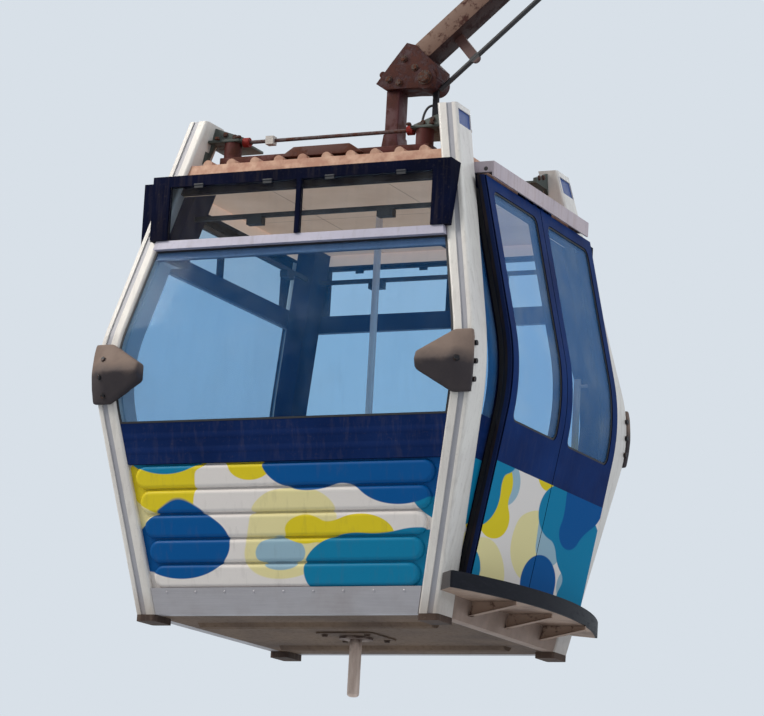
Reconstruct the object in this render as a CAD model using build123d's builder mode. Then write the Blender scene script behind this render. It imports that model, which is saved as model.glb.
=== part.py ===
from build123d import *
from math import atan2, cos, radians, sin, tan
import os

# Cable car cabin with its hanger and rope grip, in millimetres.
# +Z is up, the rope runs along Y and the doors are on the +X side.
# The origin is the rope's centre between the grip's jaws, above the middle of the cabin.
# Heights of the cabin and the hanger are counted from the cabin's floor line.

os.makedirs("parts", exist_ok=True)

# Cabin line: the corner posts lean out to a bend and back in, the same way on all four sides
rope_height = 5000.0  # rope centre above the floor line
foot_half = 712.0  # half spacing of the post line at the floor
bend_half = 925.0  # at the bend
top_half = 645.0  # at the post tops
bend_height = 1119.0
post_top = 2365.0
bend_radius = 1000.0
seat_gap = 0.3  # between pieces that are pushed together

# Corner posts
post_proud = 50.0  # outer faces stand this far outside the post line
post_width = 100.0  # along the end wall
post_depth = 165.0  # along the side wall
post_round = 14.0
flute_start = 4.0  # the wide groove in the end face, from the post line inwards
flute_width = 28.0
flute_depth = 6.0
slot_height = 80.0  # recess in the side face near the top
slot_below_top = 28.0
slot_depth = 6.0
foot_thick = 30.0

# Walls, given as distances outside the post line
wall_in = -10.0
wall_out = 40.0
skirt_out = 45.0
glass_out = 36.0
glass_thick = 8.0
skirt_top = 120.0
ribs_top = 680.0
belt_top = 865.0
vent_top = post_top - 315.0
vent_low = vent_top - 308.0  # top of the mid rail, sill of the vent
glass_top = vent_low - 42.0
rail_low = glass_top - 40.0  # mid rail behind the top of the glass
roof_low = vent_top + 10.0
roof_high = roof_low + 75.0
header_low = vent_top - 60.0
header_out = 30.0
rib_count = 5
rib_depth = 26.0
rib_gap = 5.0
rib_end_gap = 12.0
rib_seat = 6.0  # a rib's rounding ends this far above the panel's face

# Vent frames: upright boxes that stand in front of the leaning posts
vent_side = 49.0  # their ends stand this far outside the post line at their top
vent_proud = 87.0  # their outer faces stand this far outside it at their sill
vent_thick = 30.0
vent_stile = 90.0
vent_header = 52.0
vent_bar = 22.0
pane_thick = 6.0
latch_bar = 20.0
latch_height = vent_top - 150.0
latch_shift = 20.0  # both latches sit this much to one side of their pane's middle
latch_size = (80.0, 34.0)

# Corner jambs inside the posts
jamb_side = 60.0
jamb_depth = 60.0

# Floor, roof and inside
floor_thick = 60.0
roof_out = 35.0
ridge_count = 12
ridge_radius = 24.0
ceiling_thick = 20.0
ceiling_inset = 20.0
cowl_base = 430.0
cowl_height = 46.0
cowl_gap = 7.0  # to the bar of the suspension frame behind it
cowl_slope = 33.0
cowl_shift = 15.0
pole_d = 34.0
handle_low = 800.0
handle_away = 42.0  # from the wall at its lower end
handle_high = 1330.0
bench_height = 450.0
bench_depth = 400.0
bench_half = foot_half - 102.0
bench_thick = 45.0
bench_back_height = 360.0
bench_gap = 12.0  # from the wall behind
bench_overhang = 60.0

# Door side
door_in = 68.0  # inner face of the leaves outside the post line
door_thick = 48.0
door_low = 187.0
door_top = roof_low - 38.0
leaf_width = foot_half - 65.0
door_gap = 6.0  # between the two leaves
seal_width = 12.0
seal_inset = 7.0
door_sill = 890.0  # window cut in the leaf
door_window_top = door_top - 57.0
door_stile = 62.0
door_window_round = 40.0
door_glass_inset = 8.0
door_jamb_y = leaf_width - 42.0
door_jamb_width = 40.0
side_belt_low = 700.0
channel_low = door_top + 10.0
channel_top = roof_low + 43.0
channel_past_rail = 39.0
channel_wall = 8.0
channel_bracket = 16.0
bracket_lift = 20.0
rail_d = 20.0
rail_out = 99.0  # outside the post line
rail_z = roof_low + 8.0
runner_places = (42.0, 142.0)  # on a leaf, from the meeting edge
runner_size = 40.0
runner_clear = 0.1
runner_arm = 12.0
runner_arm_shift = 14.0

# Footboard
step_top = door_low - 12.0
step_low = step_top - 75.0
step_mid_x = foot_half + 306.0
step_end_x = foot_half + 150.0
step_end_y = foot_half + 158.0
step_root = foot_half - 12.0
step_rubber = 12.0

# Bumpers
bumper_low = bend_height - 169.0
bumper_high = bend_height + 116.0
bumper_proud = 10.0
bumper_reach = 225.0  # of the beak along the end wall, from the post line
bumper_shoulder = 60.0
bumper_tip = 80.0
bumper_plate = 100.0
bumper_chamfer = 15.0
bumper_ridge = 46.0
bolt_d = 24.0
bolt_head = 3.0
bolt_inset = 52.0
bolt_pitch = 82.0

# Guide stub under the floor
stub_d = 58.0
stub_length = 290.0
stub_flange = 160.0
stub_flange_thick = 20.0
stub_round = 17.0

# Suspension over the roof
bar_thick = 33.0
beam_thick = 76.0
frame_beam = 90.0
beam_width = 144.0
damper_x = top_half - 145.0
damper_y = top_half - 45.0
beam_half_y = damper_y - 120.0
beam_half_x = 260.0
damper_d = 84.0
damper_top = post_top - 95.0
pad_thick = 12.0
web_thick = 20.0
web_high = post_top - 15.0
web_low = roof_high + 33.0
gusset_tip_x = top_half - 202.0
gusset_tip_y = top_half - 245.0
gusset_tip_high = damper_top + 26.0
tie_rod_z = damper_top + 2.0
tie_rod_d = 18.0
knob_d = 46.0
knob_length = 30.0
clamp_size = 40.0
clamp_x = -300.0

# Hanger, drawn in the front view
leg_x = 60.0
leg_width = 70.0
leg_depth = 100.0
leg_top = post_top + 285.0
foot_plate = (220.0, 200.0, 16.0)
collar_half = 50.0
collar_top = leg_top - 220.0
collar_low = collar_top - 100.0
elbow_width = 150.0
barrel_x = leg_x + 183.0
barrel_z = leg_top + 42.0
barrel_d = 110.0
barrel_length = 176.0
lever_root = (leg_x - 5.0, leg_top + 74.0)
lever_end = (leg_x - 78.0, leg_top + 96.0)
lever_d = 34.0
lever_thick = 16.0
arm_x = leg_x + 90.0
arm_z = leg_top + 133.0
arm_depth = 100.0
arm_width = 140.0
arm_angle = 40.0
arm_out_x = 780.0
arm_upper_z = rope_height - 670.0
arm_bend = 230.0

# Door rod under the arm
rod_d = 25.0
rod_drop = 190.0
rod_start = 20.0
rod_length = 800.0
rod_brackets = (230.0, 700.0)
bracket_length = 50.0
bracket_thick = 24.0
hook_thick = 20.0
hook_low = leg_top - 138.0
hook_x = barrel_x + 12.0
hook_width = 26.0
hook_taper = 8.0
cable_d = 12.0
cable_bend = 0.45  # share of a run that a bend may take

# Grip, in heights above the rope's centre
rope_d = 45.0
jaw_length = 260.0
jaw_top = 110.0
jaw_low = 34.0
jaw_split = 14.0
jaw_tip = 30.0
jaw_step = 1.0  # between the fixed and the moving jaw
body_weld = 15.0
lever_out = 84.0
spring_in = 40.0
spring_out = 85.0
spring_y = 32.0
spring_z = 150.0
spring_d = 54.0
spring_wire = 9.0
spring_coils = 7
cheek_thick = 12.0
cheek_gap = 5.0
cheek_length = 60.0
pivot_d = 60.0
pivot_in = 112.0
pivot_out = 352.0
pivot_cap = 110.0
pivot_cap_gap = 4.0
pivot_cap_thick = 26.0
eye_d = 140.0
eye_in = 150.0
eye_out = 312.0
pivot_clear = 0.08
roller_d = 150.0
roller_width = 40.0
roller_y = 160.0
roller_z = 200.0
roller_x = 20.0
axle_d = 30.0

# Planes of the cabin: their origins are on the floor line
front_view = Plane(origin=(0, 0, -rope_height), x_dir=(1, 0, 0), z_dir=(0, -1, 0))
side_view = Plane(origin=(0, 0, -rope_height), x_dir=(0, 1, 0), z_dir=(1, 0, 0))
reach = 1.5 * bend_half  # past every outer face
line_low = -foot_half / 4
line_high = post_top + foot_half / 4

corners = [
    # name, side along X, side along Y
    ("front_left", -1, -1),
    ("front_right", 1, -1),
    ("rear_left", -1, 1),
    ("rear_right", 1, 1),
]

walls = [
    # name, side of the cabin, direction of the outward normal in plan in degrees
    ("front", -1, -90),
    ("rear", 1, 90),
    ("left", -1, 180),
]

leaves = [
    # name, side along Y
    ("front", -1),
    ("rear", 1),
]


def line_at(z):
    """Half spacing of the post line at a height above the floor line."""
    if z < bend_height:
        return foot_half + (bend_half - foot_half) * z / bend_height
    return bend_half + (top_half - bend_half) * (z - bend_height) / (post_top - bend_height)


# Places that follow the post line
vent_half = line_at(vent_top) + vent_side
vent_face = line_at(vent_low) + vent_proud
rail_x = line_at(rail_z) + rail_out
channel_out = rail_x + channel_past_rail
handle_x = line_at(handle_low) + wall_in - handle_away
handle_y = door_jamb_y + door_jamb_width / 2


def level(z):
    """The level plane at a height above the floor line."""
    return Plane.XY.offset(z - rope_height)


def bent_region(low_line, high_line, low=line_low, high=line_high):
    """The sketch between two bent lines, seen in the view of one wall.

    Each line is given as (distance outside the post line, side of the cabin).
    """
    with BuildSketch() as region:
        with BuildLine():
            ends = []
            for offset, side in (low_line, high_line):
                stops = [(side * (line_at(z) + offset), z) for z in (line_low, bend_height, line_high)]
                ends.append(FilletPolyline(*stops, radius=bend_radius))
            Line(ends[0] @ 0, ends[1] @ 0)
            Line(ends[0] @ 1, ends[1] @ 1)
        make_face()
        with Locations((0, (low + high) / 2)):
            Rectangle(2 * reach, high - low, mode=Mode.INTERSECT)
    return region.sketch


def bent_block(x_lines, y_lines, low=line_low, high=line_high):
    """A solid bounded by two bent lines in X, two in Y and two heights."""
    with BuildPart() as block:
        with BuildSketch(front_view):
            add(bent_region(*x_lines, low, high))
        extrude(amount=reach, both=True)
        with BuildSketch(side_view):
            add(bent_region(*y_lines))
        extrude(amount=reach, both=True, mode=Mode.INTERSECT)
    return block.part


def end_wall(side, low, high, inner, outer):
    """A piece of an end wall (side -1 front, 1 rear) between its two posts."""
    return bent_block(((-end_edge, -1), (-end_edge, 1)), ((inner, side), (outer, side)), low, high)


def side_wall(side, low, high, inner, outer):
    """A piece of a side wall (side -1 left, 1 door side) between its two posts."""
    return bent_block(((inner, side), (outer, side)), ((-side_edge, -1), (-side_edge, 1)), low, high)


def finish(piece, name):
    """Label a piece and write it."""
    piece.part.label = name
    export_step(piece.part, "parts/" + name + ".step")


post_x_in = post_proud - post_width
post_y_in = post_proud - post_depth
end_edge = seat_gap - post_x_in  # end walls stop this far inside the post line
side_edge = seat_gap - post_y_in  # side walls stop this far inside it
channel_half = line_at(channel_top) - side_edge
whole_span = ((reach, -1), (reach, 1))

# The space that the four posts take in the pieces that fit round them
with BuildPart() as posts_taken:
    for _, side_x, side_y in corners:
        x_lines = ((post_x_in - seat_gap, side_x), (post_proud + seat_gap, side_x))
        y_lines = ((post_y_in - seat_gap, side_y), (post_proud + seat_gap, side_y))
        add(bent_block(x_lines, y_lines))

# Corner posts: bent extrusions with a flute in the end face and a recess near the top
slot_high = post_top - slot_below_top
for name, side_x, side_y in corners:
    with BuildPart() as post:
        x_lines = ((post_x_in, side_x), (post_proud, side_x))
        y_lines = ((post_y_in, side_y), (post_proud, side_y))
        add(bent_block(x_lines, y_lines, 0, post_top))
        long_edges = post.edges().filter_by(lambda e: e.length > post_width * 2)
        long_edges = long_edges.sort_by(lambda e: e.center().X * side_x + e.center().Y * side_y)
        fillet(long_edges[-3:], radius=post_round)
        flute_x = ((-flute_start, side_x), (flute_width - flute_start, side_x))
        flute_y = ((post_proud - flute_depth, side_y), (post_proud + flute_depth, side_y))
        add(bent_block(flute_x, flute_y), mode=Mode.SUBTRACT)
        slot_x = ((post_proud - slot_depth, side_x), (post_proud + slot_depth, side_x))
        slot_y = ((post_y_in + post_round, side_y), (post_proud - post_round, side_y))
        add(bent_block(slot_x, slot_y, slot_high - slot_height, slot_high), mode=Mode.SUBTRACT)
    finish(post, "post_" + name)

# Dark feet under the posts
with BuildPart() as post_feet:
    foot_x = foot_half + post_proud - post_width / 2
    foot_y = foot_half + post_proud - post_depth / 2
    with BuildSketch(level(-foot_thick)):
        with GridLocations(2 * foot_x, 2 * foot_y, 2, 2):
            RectangleRounded(post_width, post_depth, post_round)
    extrude(amount=foot_thick)
finish(post_feet, "post_feet")

# Floor pan between the skirts
with BuildPart() as floor_pan:
    with BuildSketch(level(0)):
        Rectangle(2 * (foot_half + wall_in - seat_gap), 2 * (foot_half + wall_in - seat_gap))
    extrude(amount=floor_thick)
    add(posts_taken.part, mode=Mode.SUBTRACT)
finish(floor_pan, "floor_pan")

# Aluminium skirts round the floor, one on each wall
with BuildPart() as skirts:
    for side in (-1, 1):
        add(end_wall(side, 0, skirt_top, wall_in, skirt_out))
        add(side_wall(side, 0, skirt_top, wall_in, skirt_out))
finish(skirts, "skirts")

# Lower panels with their rounded horizontal ribs
rib_pitch = (ribs_top - skirt_top) / rib_count
lean = atan2(bend_half - foot_half, bend_height)
panel_out = wall_out - rib_depth + rib_seat


def wall_plane(turn, z, out):
    """A plane on a lower wall: X along the wall, Z out of it."""
    normal = Vector(cos(radians(turn)) * cos(lean), sin(radians(turn)) * cos(lean), -sin(lean))
    distance = line_at(z) + out
    origin = Vector(cos(radians(turn)) * distance, sin(radians(turn)) * distance, z - rope_height)
    return Plane(origin=origin, x_dir=(-sin(radians(turn)), cos(radians(turn)), 0), z_dir=normal)


def rib(plane, length):
    """One rounded rib that lies on its plane."""
    with BuildPart() as bar:
        with BuildSketch(plane):
            SlotOverall(length, rib_pitch - rib_gap)
        extrude(amount=rib_depth)
        outer_face = bar.faces().sort_by(lambda f: f.center().dot(plane.z_dir))[-1]
        fillet(outer_face.edges(), radius=rib_depth - rib_seat)
    return bar.part


with BuildPart() as ribbed_panels:
    for name, side, turn in walls:
        if name == "left":
            edge = side_edge
            add(side_wall(side, skirt_top + seat_gap, ribs_top, wall_in, panel_out))
        else:
            edge = end_edge
            add(end_wall(side, skirt_top + seat_gap, ribs_top, wall_in, panel_out))
        for row in range(rib_count):
            z = skirt_top + (row + 0.5) * rib_pitch
            length = 2 * (line_at(z - rib_pitch / 2) - edge - rib_end_gap)
            add(rib(wall_plane(turn, z, wall_out - rib_depth), length))
finish(ribbed_panels, "ribbed_panels")

# Belts over the ribs
with BuildPart() as belts:
    for side in (-1, 1):
        add(end_wall(side, ribs_top + seat_gap, belt_top, wall_in, wall_out))
    add(side_wall(-1, ribs_top + seat_gap, belt_top, wall_in, wall_out))
finish(belts, "belts")

# Main windows, bent once at the posts' bend
glass_in = glass_out - glass_thick
with BuildPart() as wall_windows:
    for side in (-1, 1):
        add(end_wall(side, belt_top + seat_gap, glass_top, glass_in, glass_out))
    add(side_wall(-1, belt_top + seat_gap, glass_top, glass_in, glass_out))
finish(wall_windows, "wall_windows")

# Mid rails: a bar behind the top of the glass and a pale sill that carries the vent
sill_out = vent_face - line_at(glass_top)
with BuildPart() as mid_rails:
    for side in (-1, 1):
        add(end_wall(side, rail_low, vent_low, wall_in, glass_in - seat_gap))
        add(end_wall(side, glass_top + seat_gap, vent_low, wall_in, sill_out))
    add(side_wall(-1, rail_low, vent_low, wall_in, glass_in - seat_gap))
    add(side_wall(-1, glass_top + seat_gap, vent_low, wall_in, sill_out))
finish(mid_rails, "mid_rails")

# Roof rails between the post tops, the one on the door side is the door header
with BuildPart() as roof_rails:
    for side in (-1, 1):
        add(end_wall(side, header_low, roof_low - seat_gap, wall_in, header_out))
        add(side_wall(side, header_low, roof_low - seat_gap, wall_in, header_out))
finish(roof_rails, "roof_rails")

# Vent frames: header, stiles and middle bar in an upright plane, with cheeks back to the wall
sill_level = vent_low + seat_gap
vent_inner = vent_face - vent_thick
pane_half = vent_half - vent_stile
pane_top = vent_top - vent_header


def wall_view(name, distance):
    """The wall's own view, moved out from the middle of the cabin to a distance."""
    if name == "left":
        return side_view.offset(-distance)
    return front_view.offset(distance if name == "front" else -distance)


def wall_box(name, low, high, near, far, half_span):
    """A box on a wall between two distances from the cabin's middle."""
    with BuildPart() as block:
        with BuildSketch(wall_view(name, near)):
            with Locations((0, (low + high) / 2)):
                Rectangle(2 * half_span, high - low)
        extrude(amount=far - near if name == "front" else near - far)
    return block.part


def vent_frame(name, side):
    """One vent's frame, cut back to the line of the posts behind it."""
    inside = ((-reach, side), (post_proud + seat_gap, side))
    with BuildPart() as frame:
        add(wall_box(name, sill_level, vent_top, top_half, vent_face, vent_half))
        add(wall_box(name, 0, vent_top - vent_bar, 0, vent_inner, vent_half - vent_thick),
            mode=Mode.SUBTRACT)
        add(wall_box(name, 0, pane_top, 0, reach, pane_half), mode=Mode.SUBTRACT)
        add(wall_box(name, sill_level, pane_top + vent_thick / 2, vent_inner, vent_face, vent_bar / 2))
        if name == "left":
            add(bent_block(inside, whole_span), mode=Mode.SUBTRACT)
        else:
            add(bent_block(whole_span, inside), mode=Mode.SUBTRACT)
    return frame.part


with BuildPart() as vent_frames:
    for name, side, _ in walls:
        add(vent_frame(name, side))
finish(vent_frames, "vent_frames")

with BuildPart() as vent_panes:
    pane_width = pane_half - vent_bar / 2 - 2 * seat_gap
    for name, _, _ in walls:
        with BuildSketch(wall_view(name, (vent_face + vent_inner) / 2)):
            with Locations((0, (pane_top + sill_level) / 2)):
                with GridLocations(pane_half + vent_bar / 2, 1, 2, 1):
                    Rectangle(pane_width, pane_top - sill_level - 2 * seat_gap)
        extrude(amount=pane_thick / 2, both=True)
finish(vent_panes, "vent_panes")

# Latch bars behind the vents, with one latch for each pane
with BuildPart() as vent_latches:
    bar_far = line_at(latch_height) + wall_in - jamb_depth
    for name, _, _ in walls:
        edge = side_edge if name == "left" else end_edge
        bar_half = line_at(latch_height) - edge - jamb_side - seat_gap
        add(wall_box(name, latch_height - latch_bar, latch_height, bar_far - latch_bar, bar_far, bar_half))
        with BuildSketch(wall_view(name, bar_far - latch_bar / 2)):
            with Locations((latch_shift, latch_height - latch_bar - latch_size[1] / 2)):
                with GridLocations(pane_half, 1, 2, 1):
                    Rectangle(*latch_size)
        extrude(amount=latch_bar, both=True)
finish(vent_latches, "vent_latches")

# Corner jambs: angle profiles round the inner corner of each post
jamb_far_x = post_x_in - seat_gap - jamb_side
jamb_far_y = post_y_in - seat_gap - jamb_depth
with BuildPart() as corner_jambs:
    for _, side_x, side_y in corners:
        along_post = (jamb_far_x, side_x), (post_x_in - seat_gap, side_x)
        to_end_wall = (jamb_far_y, side_y), (wall_in - seat_gap, side_y)
        to_side_wall = (jamb_far_x, side_x), (wall_in - seat_gap, side_x)
        behind_post = (jamb_far_y, side_y), (post_y_in - seat_gap, side_y)
        add(bent_block(along_post, to_end_wall, floor_thick + seat_gap, vent_top))
        add(bent_block(to_side_wall, behind_post, floor_thick + seat_gap, vent_top))
finish(corner_jambs, "corner_jambs")

# Roof with ridges along the rope's direction
roof_half = line_at(roof_high) + roof_out
ridge_top = roof_high + ridge_radius
with BuildPart() as roof:
    add(bent_block(((roof_out, -1), (roof_out, 1)), ((roof_out, -1), (roof_out, 1)), roof_low, roof_high))
    with BuildSketch(front_view):
        with Locations((0, roof_high)):
            with GridLocations(2 * (roof_half - 2 * ridge_radius) / (ridge_count - 1), 1, ridge_count, 1):
                Circle(ridge_radius)
    extrude(amount=roof_half, both=True)
    add(posts_taken.part, mode=Mode.SUBTRACT)
finish(roof, "roof")

# Low cowl on the front edge of the roof, with sloping ends
cowl_low = ridge_top + seat_gap
cowl_depth = roof_half - roof_out - damper_y - frame_beam / 2 - cowl_gap
with BuildPart() as roof_cowl:
    with BuildSketch(front_view.offset(roof_half - roof_out)):
        with Locations((cowl_shift, cowl_low + cowl_height / 2)):
            Trapezoid(cowl_base, cowl_height, cowl_slope)
    extrude(amount=-cowl_depth)
finish(roof_cowl, "roof_cowl")

with BuildPart() as ceiling:
    ceiling_half = line_at(header_low) + wall_in - ceiling_inset
    with BuildSketch(level(roof_low - seat_gap - ceiling_thick)):
        Rectangle(2 * ceiling_half, 2 * ceiling_half)
    extrude(amount=ceiling_thick)
    add(posts_taken.part, mode=Mode.SUBTRACT)
    add(corner_jambs.part, mode=Mode.SUBTRACT)
finish(ceiling, "ceiling")

with BuildPart() as grab_pole:
    with BuildSketch(level(floor_thick)):
        Circle(pole_d / 2)
    extrude(amount=roof_low - seat_gap - ceiling_thick - floor_thick)
finish(grab_pole, "grab_pole")

# Grab handles inside the door jambs
with BuildPart() as grab_handles:
    with BuildSketch(level(handle_low)):
        with Locations((handle_x, 0)):
            with GridLocations(1, 2 * handle_y, 1, 2):
                Circle(pole_d / 2)
    extrude(amount=handle_high - handle_low)
    with BuildSketch(side_view.offset(handle_x)):
        with Locations((0, (handle_low + handle_high) / 2)):
            with GridLocations(2 * handle_y, handle_high - handle_low - 2 * pole_d, 2, 2):
                Circle(pole_d / 4)
    extrude(amount=reach)
    add(bent_block(((-reach, 1), (wall_in - seat_gap, 1)), whole_span), mode=Mode.INTERSECT)
finish(grab_handles, "grab_handles")

# Benches along the two end walls
bench_under = bench_height - bench_thick
bench_top = bench_height + bench_back_height
back_foot = line_at(floor_thick) + wall_in - bench_gap
back_low = line_at(bench_height) + wall_in - bench_gap
back_high = line_at(bench_top) + wall_in - bench_gap
bench_front = back_low - bench_depth
seat_outline = [
    (bench_front, bench_under),
    (back_low, bench_under),
    (back_high, bench_top),
    (back_high - bench_thick, bench_top),
    (back_low - bench_thick, bench_height),
    (bench_front, bench_height),
]
plinth_outline = [
    (bench_front + bench_overhang, bench_under),
    (back_low, bench_under),
    (back_foot, floor_thick),
    (bench_front + 2 * bench_overhang, floor_thick),
]
bench_parts = [
    # outline in the side view, half width
    (seat_outline, bench_half),
    (plinth_outline, bench_half - bench_overhang),
]
with BuildPart() as benches:
    for side in (-1, 1):
        for outline, half_width in bench_parts:
            with BuildSketch(side_view):
                with BuildLine():
                    Polyline(*[(side * y, z) for y, z in outline], close=True)
                make_face()
            extrude(amount=half_width, both=True)
finish(benches, "benches")


def side_strips(near, low, high, inner, outer):
    """Both parts of the door side's wall that are further along Y than near."""
    with BuildPart() as strips:
        add(side_wall(1, low, high, inner, outer))
        with BuildSketch(side_view):
            with Locations((0, (low + high) / 2)):
                Rectangle(2 * near, 2 * (high - low))
        extrude(amount=reach, both=True, mode=Mode.SUBTRACT)
    return strips.part


# Door side: fixed jambs, with narrow panels, belts and windows between them and the posts
jamb_edge = door_jamb_y + door_jamb_width
with BuildPart() as door_jambs:
    add(side_strips(door_jamb_y, skirt_top + seat_gap, header_low - seat_gap, wall_in, wall_out))
    add(side_strips(jamb_edge, line_low, line_high, wall_in - wall_out, 2 * wall_out),
        mode=Mode.SUBTRACT)
finish(door_jambs, "door_jambs")

with BuildPart() as side_panels:
    add(side_strips(jamb_edge + seat_gap, skirt_top + seat_gap, side_belt_low, wall_in, wall_out))
finish(side_panels, "side_panels")

with BuildPart() as side_belts:
    add(side_strips(jamb_edge + seat_gap, side_belt_low + seat_gap, door_sill, wall_in, wall_out))
finish(side_belts, "side_belts")

with BuildPart() as side_windows:
    add(side_strips(jamb_edge + seat_gap, door_sill + seat_gap, header_low - seat_gap, glass_in, glass_out))
finish(side_windows, "side_windows")

# Channel on the roof's edge, between the posts, that hides the door rail
roof_edge = line_at(roof_low) + roof_out + seat_gap
channel_mid = (roof_edge + channel_out) / 2
with BuildPart() as door_channel:
    with BuildSketch(front_view):
        with Locations((channel_mid, channel_top - channel_wall / 2)):
            Rectangle(channel_out - roof_edge, channel_wall)
        with Locations((channel_out - channel_wall / 2, (channel_low + channel_top) / 2)):
            Rectangle(channel_wall, channel_top - channel_low)
    extrude(amount=channel_half, both=True)
    for side in (-1, 0, 1):
        with BuildSketch(front_view.offset(side * (channel_half - channel_bracket / 2))):
            with Locations((channel_mid, (channel_low + bracket_lift + channel_top) / 2)):
                Rectangle(channel_out - roof_edge, channel_top - channel_low - bracket_lift)
        extrude(amount=channel_bracket / 2, both=True)
    with BuildSketch(front_view):
        with Locations((rail_x, rail_z)):
            Circle(rail_d / 2 + runner_clear)
    extrude(amount=reach, both=True, mode=Mode.SUBTRACT)
    add(posts_taken.part, mode=Mode.SUBTRACT)
    add(roof.part, mode=Mode.SUBTRACT)
finish(door_channel, "door_channel")

with BuildPart() as door_rail:
    with BuildSketch(front_view):
        with Locations((rail_x, rail_z)):
            Circle(rail_d / 2)
    extrude(amount=channel_half, both=True)
finish(door_rail, "door_rail")


def door_sheet(side, near, far, inner, outer):
    """A bent sheet of a door between two distances from the meeting line."""
    with BuildPart() as door_cut:
        with BuildSketch(front_view):
            add(bent_region((inner, 1), (outer, 1), door_low, door_top))
        extrude(amount=reach, both=True)
        with BuildSketch(side_view):
            with Locations((side * (near + far) / 2, reach)):
                Rectangle(far - near, 2 * reach)
        extrude(amount=reach, mode=Mode.INTERSECT)
    return door_cut.part


# Door leaves: bent panels that slide outside the posts, with a window and two runners
leaf_near = door_gap / 2
leaf_middle = (leaf_near + leaf_width) / 2
window_width = leaf_width - leaf_near - 2 * door_stile
window_height = door_window_top - door_sill
window_middle = (door_sill + door_window_top) / 2
for name, side in leaves:
    with BuildPart() as leaf:
        add(door_sheet(side, leaf_near, leaf_width, door_in, door_in + door_thick))
        with BuildSketch(side_view):
            with Locations((side * leaf_middle, window_middle)):
                RectangleRounded(window_width, window_height, door_window_round)
        extrude(amount=reach, mode=Mode.SUBTRACT)
        for runner_y in runner_places:
            with BuildSketch(front_view.offset(-side * runner_y)):
                with Locations((rail_x, rail_z)):
                    Rectangle(runner_size, runner_size)
                with Locations((rail_x + runner_arm_shift, (rail_z + door_top) / 2)):
                    Rectangle(runner_arm, rail_z - door_top)
            extrude(amount=runner_size / 2, both=True)
        with BuildSketch(front_view):
            with Locations((rail_x, rail_z)):
                Circle(rail_d / 2 + runner_clear)
        extrude(amount=reach, both=True, mode=Mode.SUBTRACT)
    finish(leaf, name + "_door")

    with BuildPart() as door_glass:
        glass_outer = door_in + door_thick - door_glass_inset
        add(door_sheet(side, leaf_near, leaf_width, glass_outer - glass_thick, glass_outer))
        with BuildSketch(side_view):
            with Locations((side * leaf_middle, window_middle)):
                pane_size = (window_width - 2 * seat_gap, window_height - 2 * seat_gap)
                RectangleRounded(*pane_size, door_window_round)
        extrude(amount=reach, mode=Mode.INTERSECT)
    finish(door_glass, name + "_door_glass")

    with BuildPart() as door_seal:
        seal_near = leaf_width + seat_gap
        seal_outer = door_in + door_thick - seal_inset
        add(door_sheet(side, seal_near, seal_near + seal_width, door_in + seal_inset, seal_outer))
    finish(door_seal, name + "_door_seal")

# Footboard under the doors: a crescent plate with a rubber edge
with BuildPart() as footboard:
    with BuildSketch(level(step_low)):
        with BuildLine():
            ThreePointArc((step_end_x, -step_end_y), (step_mid_x, 0), (step_end_x, step_end_y))
            Polyline((step_end_x, step_end_y), (step_root, step_root), (step_root, -step_root),
                     (step_end_x, -step_end_y))
        make_face()
    extrude(amount=step_top - step_low)
    add(posts_taken.part, mode=Mode.SUBTRACT)
    add(bent_block(((-reach, 1), (skirt_out + seat_gap, 1)), whole_span), mode=Mode.SUBTRACT)
finish(footboard, "footboard")

with BuildPart() as footboard_edge:
    with BuildSketch(level(step_low)):
        with BuildLine():
            inner = ThreePointArc((step_end_x, -step_end_y), (step_mid_x, 0), (step_end_x, step_end_y))
            outer = ThreePointArc((step_end_x + step_rubber, -step_end_y), (step_mid_x + step_rubber, 0),
                                  (step_end_x + step_rubber, step_end_y))
            Line(inner @ 0, outer @ 0)
            Line(inner @ 1, outer @ 1)
        make_face()
    extrude(amount=step_top - step_low)
finish(footboard_edge, "footboard_edge")

# Rubber bumpers round the bend of each post, with a beak over the end wall
bumper_mid = (bumper_low + bumper_high) / 2
bumper_face = bend_half + post_proud + bumper_proud


def bumper_bolt_row(side_x, side_y, play):
    """The bolts on the side of one bumper, or their holes where play is over zero."""
    inner = post_proud + seat_gap - play
    outer = post_proud + bumper_proud + bolt_head
    with BuildPart() as bolts:
        with BuildSketch(side_view):
            with Locations((side_y * (bumper_face - bolt_inset), bumper_mid)):
                with GridLocations(1, bolt_pitch, 1, 3):
                    Circle(bolt_d / 2 + play)
        extrude(amount=side_x * reach)
        add(bent_block(((inner, side_x), (outer, side_x)), whole_span), mode=Mode.INTERSECT)
    return bolts.part


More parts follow.
